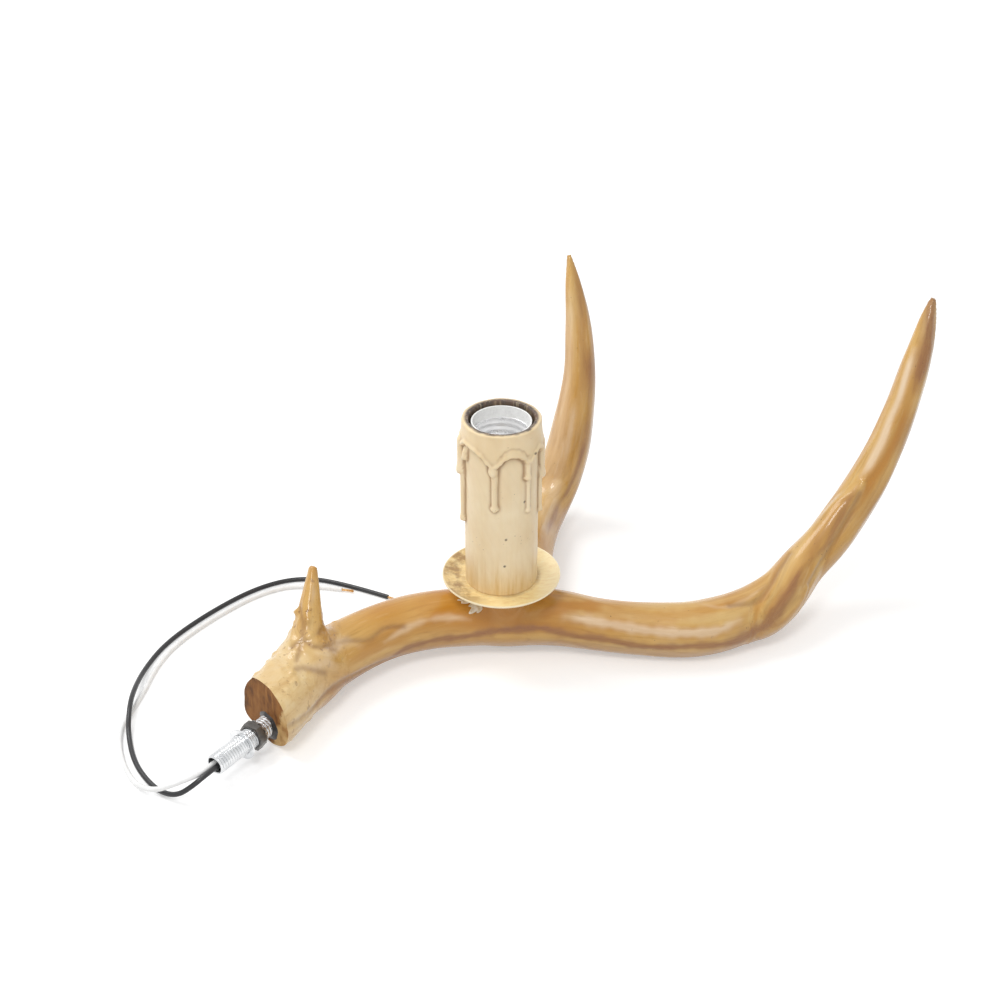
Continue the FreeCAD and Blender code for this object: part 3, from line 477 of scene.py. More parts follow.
browStations = [(-94.3, -47.5, 3.5, 0.88), (-93.6, -42.5, 15.5, 0.74), (-92.3, -36.8, 25.5, 0.49),
                (-91.3, -29.8, 36.0, 0.33), (-90.6, -22.8, 45.6, 0.17)]
# the short spur that never left the rising tip, lying along its front
spurStations = [(183.5, 46.6, 50.4, 0.10), (180.7, 46.0, 45.8, 0.20), (176.1, 45.5, 40.5, 0.31),
                (167.6, 40.1, 29.5, 0.43), (158.5, 31.9, 19.6, 0.53), (150.0, 21.2, 11.5, 0.62),
                (141.2, 9.8, 4.6, 0.70), (131.5, 3.0, 0.8, 0.72), (119.3, 1.2, -0.3, 0.66), (104.0, -3.0, -0.4, 0.50)]
bossStations = [(0.0, 0.0, 14.5, 0.80), (0.0, 0.0, 24.0, 0.74), (0.0, 0.0, 31.5, 0.66)]


def smoothLine(knots, count):
    # a curve through every knot, in cubic pieces whose slopes are weighted means of the neighbouring chords
    gaps = np.linalg.norm(np.diff(knots[:, :3], axis=0), axis=1)
    place = np.concatenate([[0.0], np.cumsum(gaps)])
    chord = np.diff(knots, axis=0) / gaps[:, None]
    share = (gaps[1:] / (gaps[1:] + gaps[:-1]))[:, None]
    slope = np.vstack([chord[:1], chord[:-1] * share + chord[1:] * (1 - share), chord[-1:]])
    at = np.linspace(0, place[-1], count)
    i = np.clip(np.searchsorted(place, at, side="right") - 1, 0, len(gaps) - 1)
    gap = gaps[i][:, None]
    t = (at - place[i])[:, None] / gap
    return (knots[i] * (2 * t ** 3 - 3 * t ** 2 + 1) + knots[i + 1] * (3 * t ** 2 - 2 * t ** 3)
            + gap * (slope[i] * (t ** 3 - 2 * t ** 2 + t) + slope[i + 1] * (t ** 3 - t ** 2)))


def sweepRound(middle, radius, side, lift, columns):
    # a round section carried along a line: middle + radius * (side * cos - lift * sin)
    angle = np.linspace(0, 2 * np.pi, columns, endpoint=False)[:, None]
    across = side[:, None] * np.cos(angle) - lift[:, None] * np.sin(angle)
    return (middle[:, None] + radius[:, None, None] * across).reshape(-1, 3)


class Limb:
    # a smooth middle line with a radius, and a frame that turns with it
    def __init__(self, stations, aside, start=0.0):
        knots = np.array(stations, float)
        knots[:, :3] += candleFoot + (0, 0, beamThickness / 2)
        knots[:, 3] *= beamThickness / 2
        span = np.linalg.norm(np.diff(knots[:, :3], axis=0), axis=1).sum()
        line = smoothLine(knots, int(span / antlerMake["spacing"]) + 2)
        self.middle, self.radius = line[:, :3], line[:, 3]
        self.gap = np.linalg.norm(line[1, :3] - line[0, :3])
        self.ahead = unit(np.gradient(self.middle, axis=0))
        self.side = unit(np.cross(self.ahead, aside))
        self.lift = np.cross(self.side, self.ahead)
        self.grow = np.gradient(self.radius) / self.gap
        self.start = start

    def measure(self, points):
        # distance to the surface, direction away from the middle line, and place along and across the limb
        near = ((self.middle ** 2).sum(1) - 2 * points @ self.middle.T).argmin(1)
        offset = points - self.middle[near]
        slide = np.clip((offset * self.ahead[near]).sum(1), -self.gap / 2, self.gap / 2)
        offset = offset - slide[:, None] * self.ahead[near]
        length = np.maximum(np.linalg.norm(offset, axis=1), 1e-6)
        along = self.start + near * self.gap + slide
        place = np.stack([along, (offset * self.side[near]).sum(1), (offset * self.lift[near]).sum(1)], 1)
        return length - self.radius[near] - self.grow[near] * slide, offset / length[:, None], place

    def skin(self):
        # a round section carried along the line, and a dome of its end radius over each end
        dome = np.radians(antlerMake["domeAngles"])
        order = np.concatenate([[0] * len(dome), np.arange(len(self.middle)), [-1] * len(dome)])
        beyond = np.concatenate([-np.sin(dome[::-1]), np.zeros(len(self.middle)), np.sin(dome)])
        narrow = np.concatenate([np.cos(dome[::-1]), np.ones(len(self.middle)), np.cos(dome)])
        middle = self.middle[order] + (beyond * self.radius[order])[:, None] * self.ahead[order]
        columns = antlerMake["columns"]
        points = sweepRound(middle, narrow * self.radius[order], self.side[order], self.lift[order], columns)
        ends = self.middle[[0, -1]] + self.radius[[0, -1], None] * self.ahead[[0, -1]] * [[-1], [1]]
        return np.vstack([points, ends]), cappedFaces(len(middle), columns)

    def scatter(self, dice, count, first, last):
        # seeded places on the skin between two rows of the middle line
        row = dice.integers(first, last, count)
        turn = dice.uniform(0, 2 * np.pi, count)[:, None]
        around = np.cos(turn) * self.side[row] + np.sin(turn) * self.lift[row]
        return self.middle[row] + around * self.radius[row][:, None]


limbs = {"beam": Limb(beamStations, (-0.5, 0.7, -0.5)), "back": Limb(backStations, (1, 0, 0), 150.0),
         "brow": Limb(browStations, (1, 0, 0), 30.0), "spur": Limb(spurStations, (0.6, -0.6, 0.5), 330.0),
         "boss": Limb(bossStations, (1, 0, 0), 120.0)}

# Lines that the skin carries, by the places of the photograph that they pass: height (below 0 a groove) and width.
skinLines = [
    ([(789, 554), (779, 570), (769, 586), (757, 601), (730, 606)], -0.7, 1.6),
    ([(860, 494), (849, 516), (836, 539), (822, 561), (809, 584)], -1.1, 1.3),
    ([(288, 727), (305, 716), (317, 704), (328, 691), (354, 675), (383, 662), (408, 654), (441, 652)], -0.9, 1.5),
    ([(326, 646), (347, 641), (369, 640), (387, 628), (404, 627)], -0.6, 1.3),
    ([(291, 647), (305, 641), (314, 647), (325, 648), (336, 650)], -0.6, 1.4),
    ([(297, 669), (303, 668), (311, 670), (325, 673)], -0.5, 1.6),
    ([(929, 350), (924, 372), (918, 394), (911, 418), (902, 442), (892, 466), (880, 490), (865, 514), (851, 538)],
     0.9, 3.6),
    ([(934, 312), (915, 355), (909, 384), (897, 419), (886, 444), (875, 468), (863, 482)], 0.5, 1.3),
    ([(300, 605), (303, 622), (302, 640), (297, 660)], -0.35, 1.2),
    ([(322, 600), (323, 618), (319, 634)], -0.5, 1.3),
    ([(585, 320), (589, 353), (588, 385), (583, 412), (574, 450), (562, 480), (548, 510), (540, 530)], 0.45, 1.6),
]
# Washes of colour along such lines, some of them painted light and shade: half width and strength.
# brown washes: stripes of the paint, and, down the right of the tines and over the bend, painted shade on the sides
# turned from the light
brownAndShadeStreaks = [
    ([(386, 664), (402, 651), (424, 643), (441, 639), (462, 637), (479, 634), (496, 631), (522, 629), (540, 628),
      (556, 631), (577, 636), (599, 638), (616, 641), (633, 645), (652, 647), (674, 647), (695, 646), (715, 645),
      (735, 640), (762, 627), (779, 609), (791, 589), (803, 565)], 1.9, 0.95),
    ([(718, 646), (740, 639), (762, 627), (780, 608), (792, 588), (800, 572)], 3.6, 0.85),
    ([(288, 740), (303, 728), (314, 716), (324, 704), (337, 693), (354, 682), (374, 672)], 2.4, 0.50),
    ([(268, 745), (276, 747), (284, 744), (294, 735)], 1.5, 0.75),
    ([(847, 503), (833, 522), (820, 540), (808, 560), (797, 580)], 2.8, 0.32),
    ([(276, 742), (294, 731), (306, 720), (316, 706), (328, 693), (343, 684), (368, 671), (390, 661)], 1.3, 0.75),
    ([(930, 300), (930, 318), (929, 335), (925, 352), (920, 372), (916, 388)], 2.9, 0.85),
    ([(859, 485), (849, 500), (838, 520), (826, 545), (812, 560)], 1.7, 0.60),
    ([(585, 440), (578, 465), (568, 490), (556, 512), (547, 532)], 1.8, 0.75),
    ([(589, 350), (590, 385), (588, 415), (585, 440)], 1.6, 0.35),
    ([(324, 600), (326, 620), (328, 634)], 1.3, 0.55),
    ([(298, 650), (296, 665), (300, 676)], 0.9, 0.45),
    ([(540, 645), (560, 641), (590, 648), (615, 654)], 1.2, 0.35),
]
# pale streaks, mostly painted highlights along the glossy beam and tines, partly the paint's own pale tone
paleAndHighlightStreaks = [
    ([(914, 350), (906, 376), (899, 398), (890, 421), (881, 443), (872, 460), (861, 476)], 1.9, 1.0),
    ([(569, 300), (568, 340), (566, 380), (562, 420), (556, 450), (550, 480), (546, 500)], 5.0, 0.42),
    ([(568, 430), (562, 460), (555, 490), (547, 515), (542, 535)], 3.6, 0.55),
    ([(566, 617), (586, 620), (609, 624), (627, 627), (652, 631), (673, 633), (695, 633), (716, 631), (738, 621)],
     2.1, 0.85),
    ([(385, 642), (405, 629), (424, 621), (440, 618), (458, 618), (470, 620)], 1.5, 0.60),
    ([(574, 400), (570, 430), (566, 452), (558, 478), (548, 500), (540, 520)], 2.2, 0.60),
    ([(312, 580), (313, 592), (311, 606)], 1.1, 0.60),
    ([(318, 655), (332, 650), (345, 641), (356, 643)], 2.8, 0.80),
    ([(301, 664), (312, 668), (326, 662), (335, 668)], 2.2, 0.55),
    ([(836, 500), (826, 510), (818, 522)], 0.9, 0.55),
    ([(700, 604), (720, 608), (745, 600), (765, 585)], 1.2, 0.35),
]
amberStreaks = [
    ([(420, 628), (446, 611), (466, 613), (480, 626)], 3.6, 0.85),
    ([(530, 622), (548, 612), (575, 606), (610, 608)], 4.2, 0.85),
    ([(620, 612), (660, 616), (700, 612), (740, 600)], 3.4, 0.45),
    ([(908, 405), (899, 430), (888, 455), (872, 480), (862, 500)], 2.1, 0.70),
    ([(560, 300), (570, 340), (568, 380)], 2.0, 0.35),
    ([(352, 660), (372, 650), (395, 643), (415, 636)], 2.4, 0.55),
    ([(700, 640), (730, 628), (752, 610), (770, 585)], 1.8, 0.30),
]
# Pearls and knobs, by the place in the photograph: height and width.
pearls = [
    (292, 673, 1.0, 1.2), (292, 683, 0.9, 1.1), (295, 655, 0.9, 1.1), (271, 663, 1.1, 1.3), (279, 655, 0.8, 1.2),
    (274, 654, 1.0, 1.6), (267, 661, 1.0, 1.5), (256, 674, 1.2, 1.7), (252, 680, 1.0, 1.4), (298, 611, 1.5, 1.3),
    (311, 635, 0.8, 1.1), (317, 641, 0.8, 1.1), (313, 645, 0.9, 1.2), (324, 643, 0.8, 1.0), (328, 649, 0.9, 1.1),
    (305, 652, 0.7, 1.1), (330, 618, 0.9, 1.3), (334, 622, 0.8, 1.2), (300, 640, 0.6, 1.2), (287, 690, 0.7, 1.2),
    (387, 627, 0.6, 1.0), (862, 481, 0.7, 1.1), (722, 625, 0.6, 1.2)]
# Broad swellings from the candle's foot: x, y, z, width and height.
lumps = np.array([
    (-122.0, -61.5, 6.0, 6.5, 4.4), (-120.0, -64.0, 18.0, 3.5, 1.3), (-86.4, -52.0, 30.7, 6.0, 1.9),
    (-97.9, -34.5, 44.8, 1.5, 1.6), (-83.4, -35.0, 32.0, 3.0, 0.9), (-109.0, -57.0, 32.0, 4.0, 1.2),
    (-97.2, -72.1, 31.6, 1.3, 0.9), (-98.0, -66.5, 33.2, 1.7, 1.0), (-35.3, -16.2, 27.0, 7.0, 0.7),
    (113.0, -12.0, 20.0, 9.0, 0.6), (20.0, -12.0, 24.0, 16.0, 0.5)])
skinBumps = {"burrCount": 26, "browCount": 46, "seed": 11, "highest": 3.6}
washesAndLight = {"burr": 0.85, "backTineShade": 0.3, "tips": 0.55, "darkest": 0.9, "underCandle": 0.85, "onTop": 0.5,
          "underside": 0.65}
rayWalk = {"start": 600.0, "steps": 70, "stride": 0.85, "least": 0.001}


def limbField(points):
    # the limbs run into each other in fillets: distance, direction away from the middle, and place along and across
    measured = {name: limb.measure(points) for name, limb in limbs.items()}
    gap, away, flow = measured["beam"]
    for name, width in fillets.items():
        other, otherAway, otherFlow = measured[name]
        share = np.clip(0.5 + 0.5 * (gap - other) / width, 0, 1)
        gap = gap + (other - gap) * share - width * share * (1 - share)
        away = away + (otherAway - away) * share[:, None]
        flow = flow + (otherFlow - flow) * share[:, None]
    return gap, away, flow


def onSkin(pixels):
    # where the camera's rays through places of the photograph meet the limbs, or pass nearest to them
    tilt = np.radians(90 - lens["tilt"])
    ahead, upward = np.array([0, np.cos(tilt), -np.sin(tilt)]), np.array([0, np.sin(tilt), np.cos(tilt)])
    side = lens["pictureSide"]
    across = (np.array(pixels, float) - side / 2) * lens["sensor"] / lens["focal"] / side
    rays = unit(ahead + across[:, :1] * (1, 0, 0) - across[:, 1:] * upward)
    eye = np.array(lens["place"]) / millimetre
    reach = np.full(len(rays), rayWalk["start"])
    least, nearest = np.full(len(rays), np.inf), reach
    for step in range(rayWalk["steps"]):
        gap = limbField(eye + reach[:, None] * rays)[0]
        nearest = np.where(gap < least, reach, nearest)
        least = np.minimum(gap, least)
        reach = reach + np.maximum(gap, 0) * rayWalk["stride"] + rayWalk["least"]
    return eye + nearest[:, None] * rays


def alongStreak(points, knots):
    # distance from each point to a smooth line through the knots
    return np.sqrt(squareGaps(points, smoothLine(knots, len(knots) * 10)).min(1))


def streakShade(points, streaks):
    # the strongest of the washes at each point: a bell across the line, which wanders in width and fades at its ends
    shade = np.zeros(len(points))
    wander = 1 + 0.16 * np.sin(points[:, 0] / 2.9) + 0.10 * np.sin(points[:, 0] / 1.1)
    for pixels, width, strength in streaks:
        knots = onSkin(pixels)
        fade = easeStep(np.sqrt(squareGaps(points, knots[[0, -1]]).min(1)), -2.0, 9.0)
        wash = np.minimum(1.25 * bell(alongStreak(points, knots), width * (0.7 + 0.3 * fade) * wander), 1)
        shade = np.maximum(shade, strength * (0.25 + 0.75 * fade) * wash)
    return shade


skinKnots = [(onSkin(pixels), height, width) for pixels, height, width in skinLines]


def alongLines(points):
    # the relief that the drawn lines give at each point, and how near the nearest groove is
    relief = np.zeros(len(points))
    groove = np.zeros(len(points))
    for knots, height, width in skinKnots:
        near = alongStreak(points, knots)
        relief += height * bell(near, width)
        if height < 0:
            groove = np.maximum(groove, bell(near, width * 1.1))
    return relief, groove


def beadPlaces():
    # seeded pearls of the burr and up the brow tine, then the ones that the photograph shows: place, height, width
    dice = np.random.default_rng(skinBumps["seed"])
    burr = limbs["beam"].scatter(dice, skinBumps["burrCount"], 2, 12)
    stem = limbs["brow"].scatter(dice, skinBumps["browCount"], 4, len(limbs["brow"].middle) - 7)
    size = dice.uniform(0.5, 1.0, len(burr) + len(stem))
    wide = np.concatenate([dice.uniform(0.9, 2.0, len(burr)), dice.uniform(0.8, 1.7, len(stem))])
    spots = np.vstack([burr, stem, onSkin([pearl[:2] for pearl in pearls])])
    heights = np.concatenate([size * wide / 2, [pearl[2] for pearl in pearls]])
    return spots, heights, np.concatenate([wide, [pearl[3] for pearl in pearls]])


beadSpots, beadHeights, beadWidths = beadPlaces()


def skinField(points):
    # distance to the finished skin: the limbs with their lines, pearls, swellings and shallow flutes
    gap, away, flow = limbField(points)
    lines, groove = alongLines(points)
    beads = (beadHeights * bell(np.sqrt(squareGaps(points, beadSpots)), beadWidths)).sum(1)
    swell = (lumps[:, 4] * bell(np.sqrt(squareGaps(points, candleFoot + lumps[:, :3])), lumps[:, 3])).sum(1)
    along, turn = flow[:, 0], np.arctan2(flow[:, 2], flow[:, 1])
    flutes = (0.16 * np.cos(5 * turn + 2.2 * np.sin(along / 47)) + 0.08 * np.cos(9 * turn + 3 * np.sin(along / 31))
              + 0.14 * np.sin(along / 13.3 + 2 * np.cos(turn)) + 0.05 * np.sin(along / 5.1 + 3 * np.sin(turn * 2)))
    away = away / np.maximum(np.linalg.norm(away, axis=1), 1e-6)[:, None]
    return gap - lines - np.clip(beads, 0, skinBumps["highest"]) - swell - flutes, away, flow, groove


def spotsOf(mesh):
    spots = np.empty(len(mesh.vertices) * 3)
    mesh.vertices.foreach_get("co", spots)
    return spots.reshape(-1, 3)


def makeAntler():
    # every limb's own skin, remeshed as one, and then drawn onto the finished skin in a few rounds
    points, faces = np.empty((0, 3)), []
    for limb in limbs.values():
        skinPoints, skinFaces = limb.skin()
        faces += [[corner + len(points) for corner in face] for face in skinFaces]
        points = np.vstack([points, skinPoints])
    rough = bpy.data.meshes.new("antlerRough")
    rough.from_pydata(points.tolist(), [], faces)
    blank = inScene("antlerRough", rough)
    remesh = blank.modifiers.new("oneSkin", "REMESH")
    remesh.mode = "VOXEL"
    remesh.voxel_size = antlerMake["voxel"]
    bpy.context.view_layer.update()
    mesh = bpy.data.meshes.new_from_object(blank.evaluated_get(bpy.context.evaluated_depsgraph_get()))
    bpy.data.objects.remove(blank)
    spots = spotsOf(mesh)
    for step in range(antlerMake["rounds"]):
        gap, away = skinField(spots)[:2]
        spots = np.clip(spots - antlerMake["pull"] * gap[:, None] * away,
                        np.array(cadLow) / millimetre + antlerMake["inset"],
                        np.array(cadHigh) / millimetre - antlerMake["inset"])
    gap, away, flow, groove = skinField(spots)
    print("antler skin:", len(spots), "points, furthest from its field", round(float(np.abs(gap).max()), 2), "mm")
    mesh.vertices.foreach_set("co", spots.ravel())
    paint(mesh, "grain", flow * (0.012, 0.1, 0.1))
    paint(mesh, "groove", groove)
    return mesh


def hollowOut(piece):
    # the wire's way: nipple socket, channel and stem socket in one closed tube, with a flat seat for the tray
    socket, channel, seat, columns = 4.8, 3.5, 15.5, 24
    mouth, socketEnd, channelStart = 9.0, 19.4, 20.2
    upright = [(30.6, channel), (31.2, socket), (trayUnderside - 0.6, socket), (trayUnderside, seat),
               (trayUnderside + 18, seat)]
    knots = np.array([(*(hubPoint + mouth * hubOutward), socket), (*(hubPoint - socketEnd * hubOutward), socket),
                      (*(hubPoint - channelStart * hubOutward), channel)]
                     + [(*spot, channel) for spot in wireWay[:-1]]
                     + [(candleFoot[0], candleFoot[1], height, radius) for height, radius in upright])
    rows = len(knots)
    ahead = np.gradient(knots[:, :3], axis=0)
    ahead[-3:] = (0, 0, 1)
    ahead = unit(ahead)
    side = unit(np.cross(ahead, (0.64, -0.76, 0.1)))
    points = sweepRound(knots[:, :3], knots[:, 3], side, np.cross(side, ahead), columns) * millimetre
    faces = gridFaces(rows, columns).tolist() + [list(range(columns))[::-1]]
    faces.append(list(range((rows - 1) * columns, rows * columns)))
    mesh = bpy.data.meshes.new("wireWay")
    mesh.from_pydata(points.tolist(), [], faces)
    way = inScene("wireWay", mesh)
    boolean = piece.modifiers.new("wireWay", "BOOLEAN")
    boolean.operation = "DIFFERENCE"
    boolean.object = way
    bpy.context.view_layer.update()
    cut = bpy.data.meshes.new_from_object(piece.evaluated_get(bpy.context.evaluated_depsgraph_get()))
    piece.modifiers.remove(boolean)
    piece.data = cut
    bpy.data.objects.remove(way)


def antlerFinish():
    finish = Finish("antlerResin")
    grain = finish.painted("grain", 1)
    patches = finish.noise(grain, 0.9, 3, 0.5, 0.4)
    streaks = finish.noise(grain, 3.4, 5, 0.62, 0.3)
    fine = finish.noise(grain, 14, 4, 0.6)
    body = finish.ramp(patches, (0.30, (186, 132, 54)), (0.44, (203, 154, 74)), (0.56, (212, 169, 94)),
                       (0.72, (223, 190, 128)))
    body = finish.veil(body, (152, 102, 42), streaks, (0.52, 0.0), (0.74, 0.45))
    body = finish.veil(body, (226, 192, 130), streaks, (0.28, 0.50), (0.42, 0.0))
    body = finish.veil(body, (160, 112, 52), fine, (0.55, 0.0), (0.75, 0.22))
    cream = finish.ramp(finish.noise(finish.place(), 85, 4, 0.6, 0.5), (0.32, (208, 170, 110)),
                        (0.48, (228, 198, 142)), (0.66, (236, 212, 164)))
    cream = finish.veil(cream, (204, 162, 102), streaks, (0.50, 0.0), (0.72, 0.45))
    body = finish.mix(finish.painted("burr"), body, cream)
    crumbs = finish.ramp(finish.noise(finish.place(), 330, 3, 0.6), (0.60, 0.0), (0.68, 0.75))
    body = finish.mix(finish.times(finish.painted("knobbly"), crumbs), body, (140, 96, 52))
    body = finish.mix(finish.painted("amber"), body, (186, 122, 24))
    # painted reflection of the white floor: faces turned down are paler and greyer
    body = finish.mix(finish.painted("underside"), body, (188, 146, 100))
    # painted highlights and pale streaks
    body = finish.mix(finish.times(finish.painted("glow"), finish.ramp(streaks, (0.34, 1.0), (0.62, 0.72))), body,
                      (236, 210, 176))
    # brown stain, and painted shade on the sides turned from the light
    body = finish.mix(finish.times(finish.painted("stainAndShade"), finish.ramp(fine, (0.35, 1.0), (0.75, 0.72))), body,
                      (146, 94, 54))
    body = finish.mix(finish.times(finish.painted("groove"), 0.5), body, (122, 76, 38))
    specks = finish.times(finish.ramp(finish.noise(finish.place(), 420, 2), (0.70, 0.0), (0.76, 1.0)),
                          finish.ramp(finish.noise(finish.place(), 38, 2), (0.45, 0.0), (0.65, 1.0)))
    specks = finish.times(specks, 0.8)
    body = finish.mix(specks, body, (88, 56, 32))
    relief = finish.plus(finish.times(streaks, 0.6), finish.times(fine, 0.35))
    knobbly = finish.times(finish.painted("knobbly"), finish.noise(finish.place(), 230, 3, 0.5))
    relief = finish.plus(finish.math("SUBTRACT", relief, specks), finish.times(knobbly, 3.2))
    finish.set(Base_Color=body, Roughness=finish.ramp(streaks, (0.3, 0.30), (0.7, 0.46)), Coat_Weight=0.55,
               Coat_Roughness=0.10, Specular_IOR_Level=0.4, Normal=finish.bump(relief, 0.35, 0.0004))
    return finish


def sawnFinish():
    finish = Finish("sawnResin")
    marks = finish.noise(finish.place((340, 340, 48)), 1.0, 5, 0.68, 0.6)
    blotch = finish.noise(finish.place(), 130, 4)
    body = finish.ramp(marks, (0.3, (80, 46, 14)), (0.5, (128, 80, 32)), (0.72, (164, 110, 52)))
    body = finish.veil(body, (168, 114, 58), blotch, (0.42, 0.0), (0.66, 0.55))
    body = finish.veil(body, (78, 44, 16), blotch, (0.30, 0.6), (0.44, 0.0))
    # towards the hub's lower right the saw cut is sealed in the skin's colour, up to a ragged line
    slant = finish.add("ShaderNodeVectorMath", {"operation": "DOT_PRODUCT"}, "Value").node
    finish.put(slant.inputs[0], finish.place())
    slant.inputs[1].default_value = (0.809, -0.588, -0.45)
    ragged = finish.times(finish.math("SUBTRACT", finish.noise(finish.place(), 210, 4), 0.5), 0.012)
    edge = finish.plus(finish.plus(slant.outputs["Value"], 0.0652), ragged)
    skin = finish.ramp(blotch, (0.36, (168, 122, 70)), (0.5, (206, 166, 108)), (0.66, (216, 184, 132)))
    body = finish.mix(finish.plus(finish.times(edge, 500), 0.5, True), body, skin)
    finish.set(Base_Color=body, Roughness=0.66, Specular_IOR_Level=0.25, Normal=finish.bump(marks, 0.6, 0.0004))
    return finish


def paintAntler(mesh):
    # broad washes of colour that follow the limbs: pale burr, amber stretches, brown stripe along the front, with
    # painted shade on the sides turned from the light, painted highlights and a painted floor reflection underneath
    spots = spotsOf(mesh) / millimetre
    local = spots - candleFoot
    away, flow = skinField(spots)[1:3]
    along = flow[:, 0]
    burr = easeStep(-local[:, 0] - 0.45 * local[:, 1], 95, 125) * easeStep(48 - local[:, 2], 0, 16)
    # painted shade on the outward faces of the rising tine, which are turned from the light
    outer = easeStep(away[:, 0] * 0.8 - away[:, 1] * 0.55, 0.30, 0.95) * easeStep(local[:, 2], 34, 62)
    outer = outer * (0.34 + 0.2 * np.sin(local[:, 2] / 6.5)) * easeStep(along, 60, 120)
    # painted shade down the back tine's right side
    backTineShade = easeStep(away[:, 0], 0.75, 0.98) * easeStep(local[:, 1], 60, 90) * washesAndLight["backTineShade"]
    tips = easeStep(local[:, 2], 148, 156) * washesAndLight["tips"]
    stainAndShade = np.clip(streakShade(spots, brownAndShadeStreaks) + outer + backTineShade + tips, 0, washesAndLight["darkest"])
    underCandle = washesAndLight["underCandle"] * bell(local[:, 0] + 4, 36.8) * (local[:, 1] < 12)
    onTop = washesAndLight["onTop"] * bell(np.sin(along / 37 + 0.7), 0.4) * easeStep(away[:, 2], 0.1, 0.7)
    amber = np.maximum(underCandle * easeStep(away[:, 2] - 0.35 * away[:, 1], 0.15, 0.7), onTop)
    amber = np.maximum(amber, streakShade(spots, amberStreaks))
    aroundBrow = easeStep(22 - np.linalg.norm(local[:, :2] - (-92, -42), axis=1), 0, 10)
    paint(mesh, "burr", burr * washesAndLight["burr"])
    # brown stain and painted shade, paler over the burr
    paint(mesh, "stainAndShade", stainAndShade * (1 - 0.6 * burr))
    paint(mesh, "amber", amber * (1 - burr))
    # painted highlights and pale streaks, as the attribute glow
    paint(mesh, "glow", streakShade(spots, paleAndHighlightStreaks))
    paint(mesh, "knobbly", np.maximum(burr * 0.6, aroundBrow * easeStep(local[:, 2], 20, 32)))
    # painted reflection: the faces turned down take the floor's pale bounce light
    paint(mesh, "underside", easeStep(-away[:, 2], -0.05, 0.5) * washesAndLight["underside"] * (1 - burr))


def antler():
    # the skin is sawn off square to the hub's axis, turned a little, and the face takes the second material
    mesh = makeAntler()
    mesh.transform(Matrix.Scale(millimetre, 4))
    turn = np.radians(antlerMake["faceTurn"])
    faceAhead = hubOutward * np.cos(turn) + hubRight * np.sin(turn)
    net = bmesh.new()
    net.from_mesh(mesh)
    bmesh.ops.bisect_plane(net, geom=net.verts[:] + net.edges[:] + net.faces[:],
                           plane_co=tuple(hubPoint * millimetre), plane_no=tuple(faceAhead), clear_outer=True)
    rim = [edge for edge in net.edges if edge.is_boundary]
    bmesh.ops.edgeloop_fill(net, edges=rim, mat_nr=1)
    bmesh.ops.recalc_face_normals(net, faces=net.faces[:])
    net.to_mesh(mesh)
    net.free()
    piece = inScene("antler", mesh)
    for finish in (antlerFinish(), sawnFinish()):
        mesh.materials.append(finish.material)
    hollowOut(piece)
    middles = np.empty(len(piece.data.polygons) * 3)
    piece.data.polygons.foreach_get("center", middles)
    onFace = np.abs((middles.reshape(-1, 3) / millimetre - hubPoint) @ faceAhead) < 0.05
    piece.data.polygons.foreach_set("material_index", onFace.astype(np.int32))
    paintAntler(piece.data)
    piece.data.shade_smooth()
    piece.data.set_sharp_from_angle(angle=np.radians(50))
    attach(piece, "arm")
    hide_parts("antler_casting")
    print("antler:", len(piece.data.polygons), "faces")


antler()

threads = {"pitch": 1.5, "crest": 5.0, "root": 4.46, "buried": 4.68, "bore": 3.9, "taper": 0.9, "face": 0.45,
           "lip": 0.25, "rowsPerTurn": 12, "columns": 56}
lockWasher = {"low": 7.0, "middle": 0.6, "bore": 5.08, "ring": 5.78, "tip": 6.48, "teeth": 10, "toothWidth": 1.8,
              "twist": 0.42}


def metalFinish(name, dull, bright, roughness, metallic=1.0, wear=0.5):
    finish = Finish(name)
    cloud = finish.noise(finish.place(), 160, 4)
    scratch = finish.noise(finish.place((1, 1, 7)), 900, 3)
    body = finish.ramp(cloud, (0.3, dull), (0.65, bright))
    body = finish.veil(body, darker(dull, 0.7), scratch, (0.60, 0.0), (0.75, wear))
    rough = finish.ramp(cloud, (0.3, roughness * 1.3), (0.7, roughness * 0.8))
    finish.set(Base_Color=body, Metallic=metallic, Roughness=rough, Normal=finish.bump(scratch, 0.15, 0.00005))
    return finish


def glueFinish(name, low, high, roughness):
    finish = Finish(name)
    lumpy = finish.noise(finish.place(), 520, 4)
    finish.set(Base_Color=finish.ramp(lumpy, (0.3, low), (0.7, high)), Roughness=roughness, Coat_Weight=0.3,
               Coat_Roughness=0.2, Normal=finish.bump(lumpy, 0.5, 0.0003))
    return finish


zinc = metalFinish("zincPlate", (208, 210, 212), (234, 235, 236), 0.22, 0.95, 0.25)
darkSteel = metalFinish("darkSteel", (92, 90, 88), (128, 126, 124), 0.34)
toothSteel = metalFinish("toothSteel", (150, 150, 150), (190, 191, 192), 0.32)
brass = metalFinish("brass", (196, 158, 84), (226, 192, 118), 0.26)
springSteel = metalFinish("springSteel", (168, 168, 170), (206, 207, 208), 0.22)
brightShell = metalFinish("brightShell", (250, 250, 251), (254, 254, 254), 0.24, 0.45, 0.08)
darkFillet = glueFinish("darkFillet", (18, 16, 15), (50, 45, 42), 0.45)
hotGlue = glueFinish("hotGlue", (212, 192, 156), (252, 249, 242), 0.30)
hotGlue.set(Transmission_Weight=0.05)


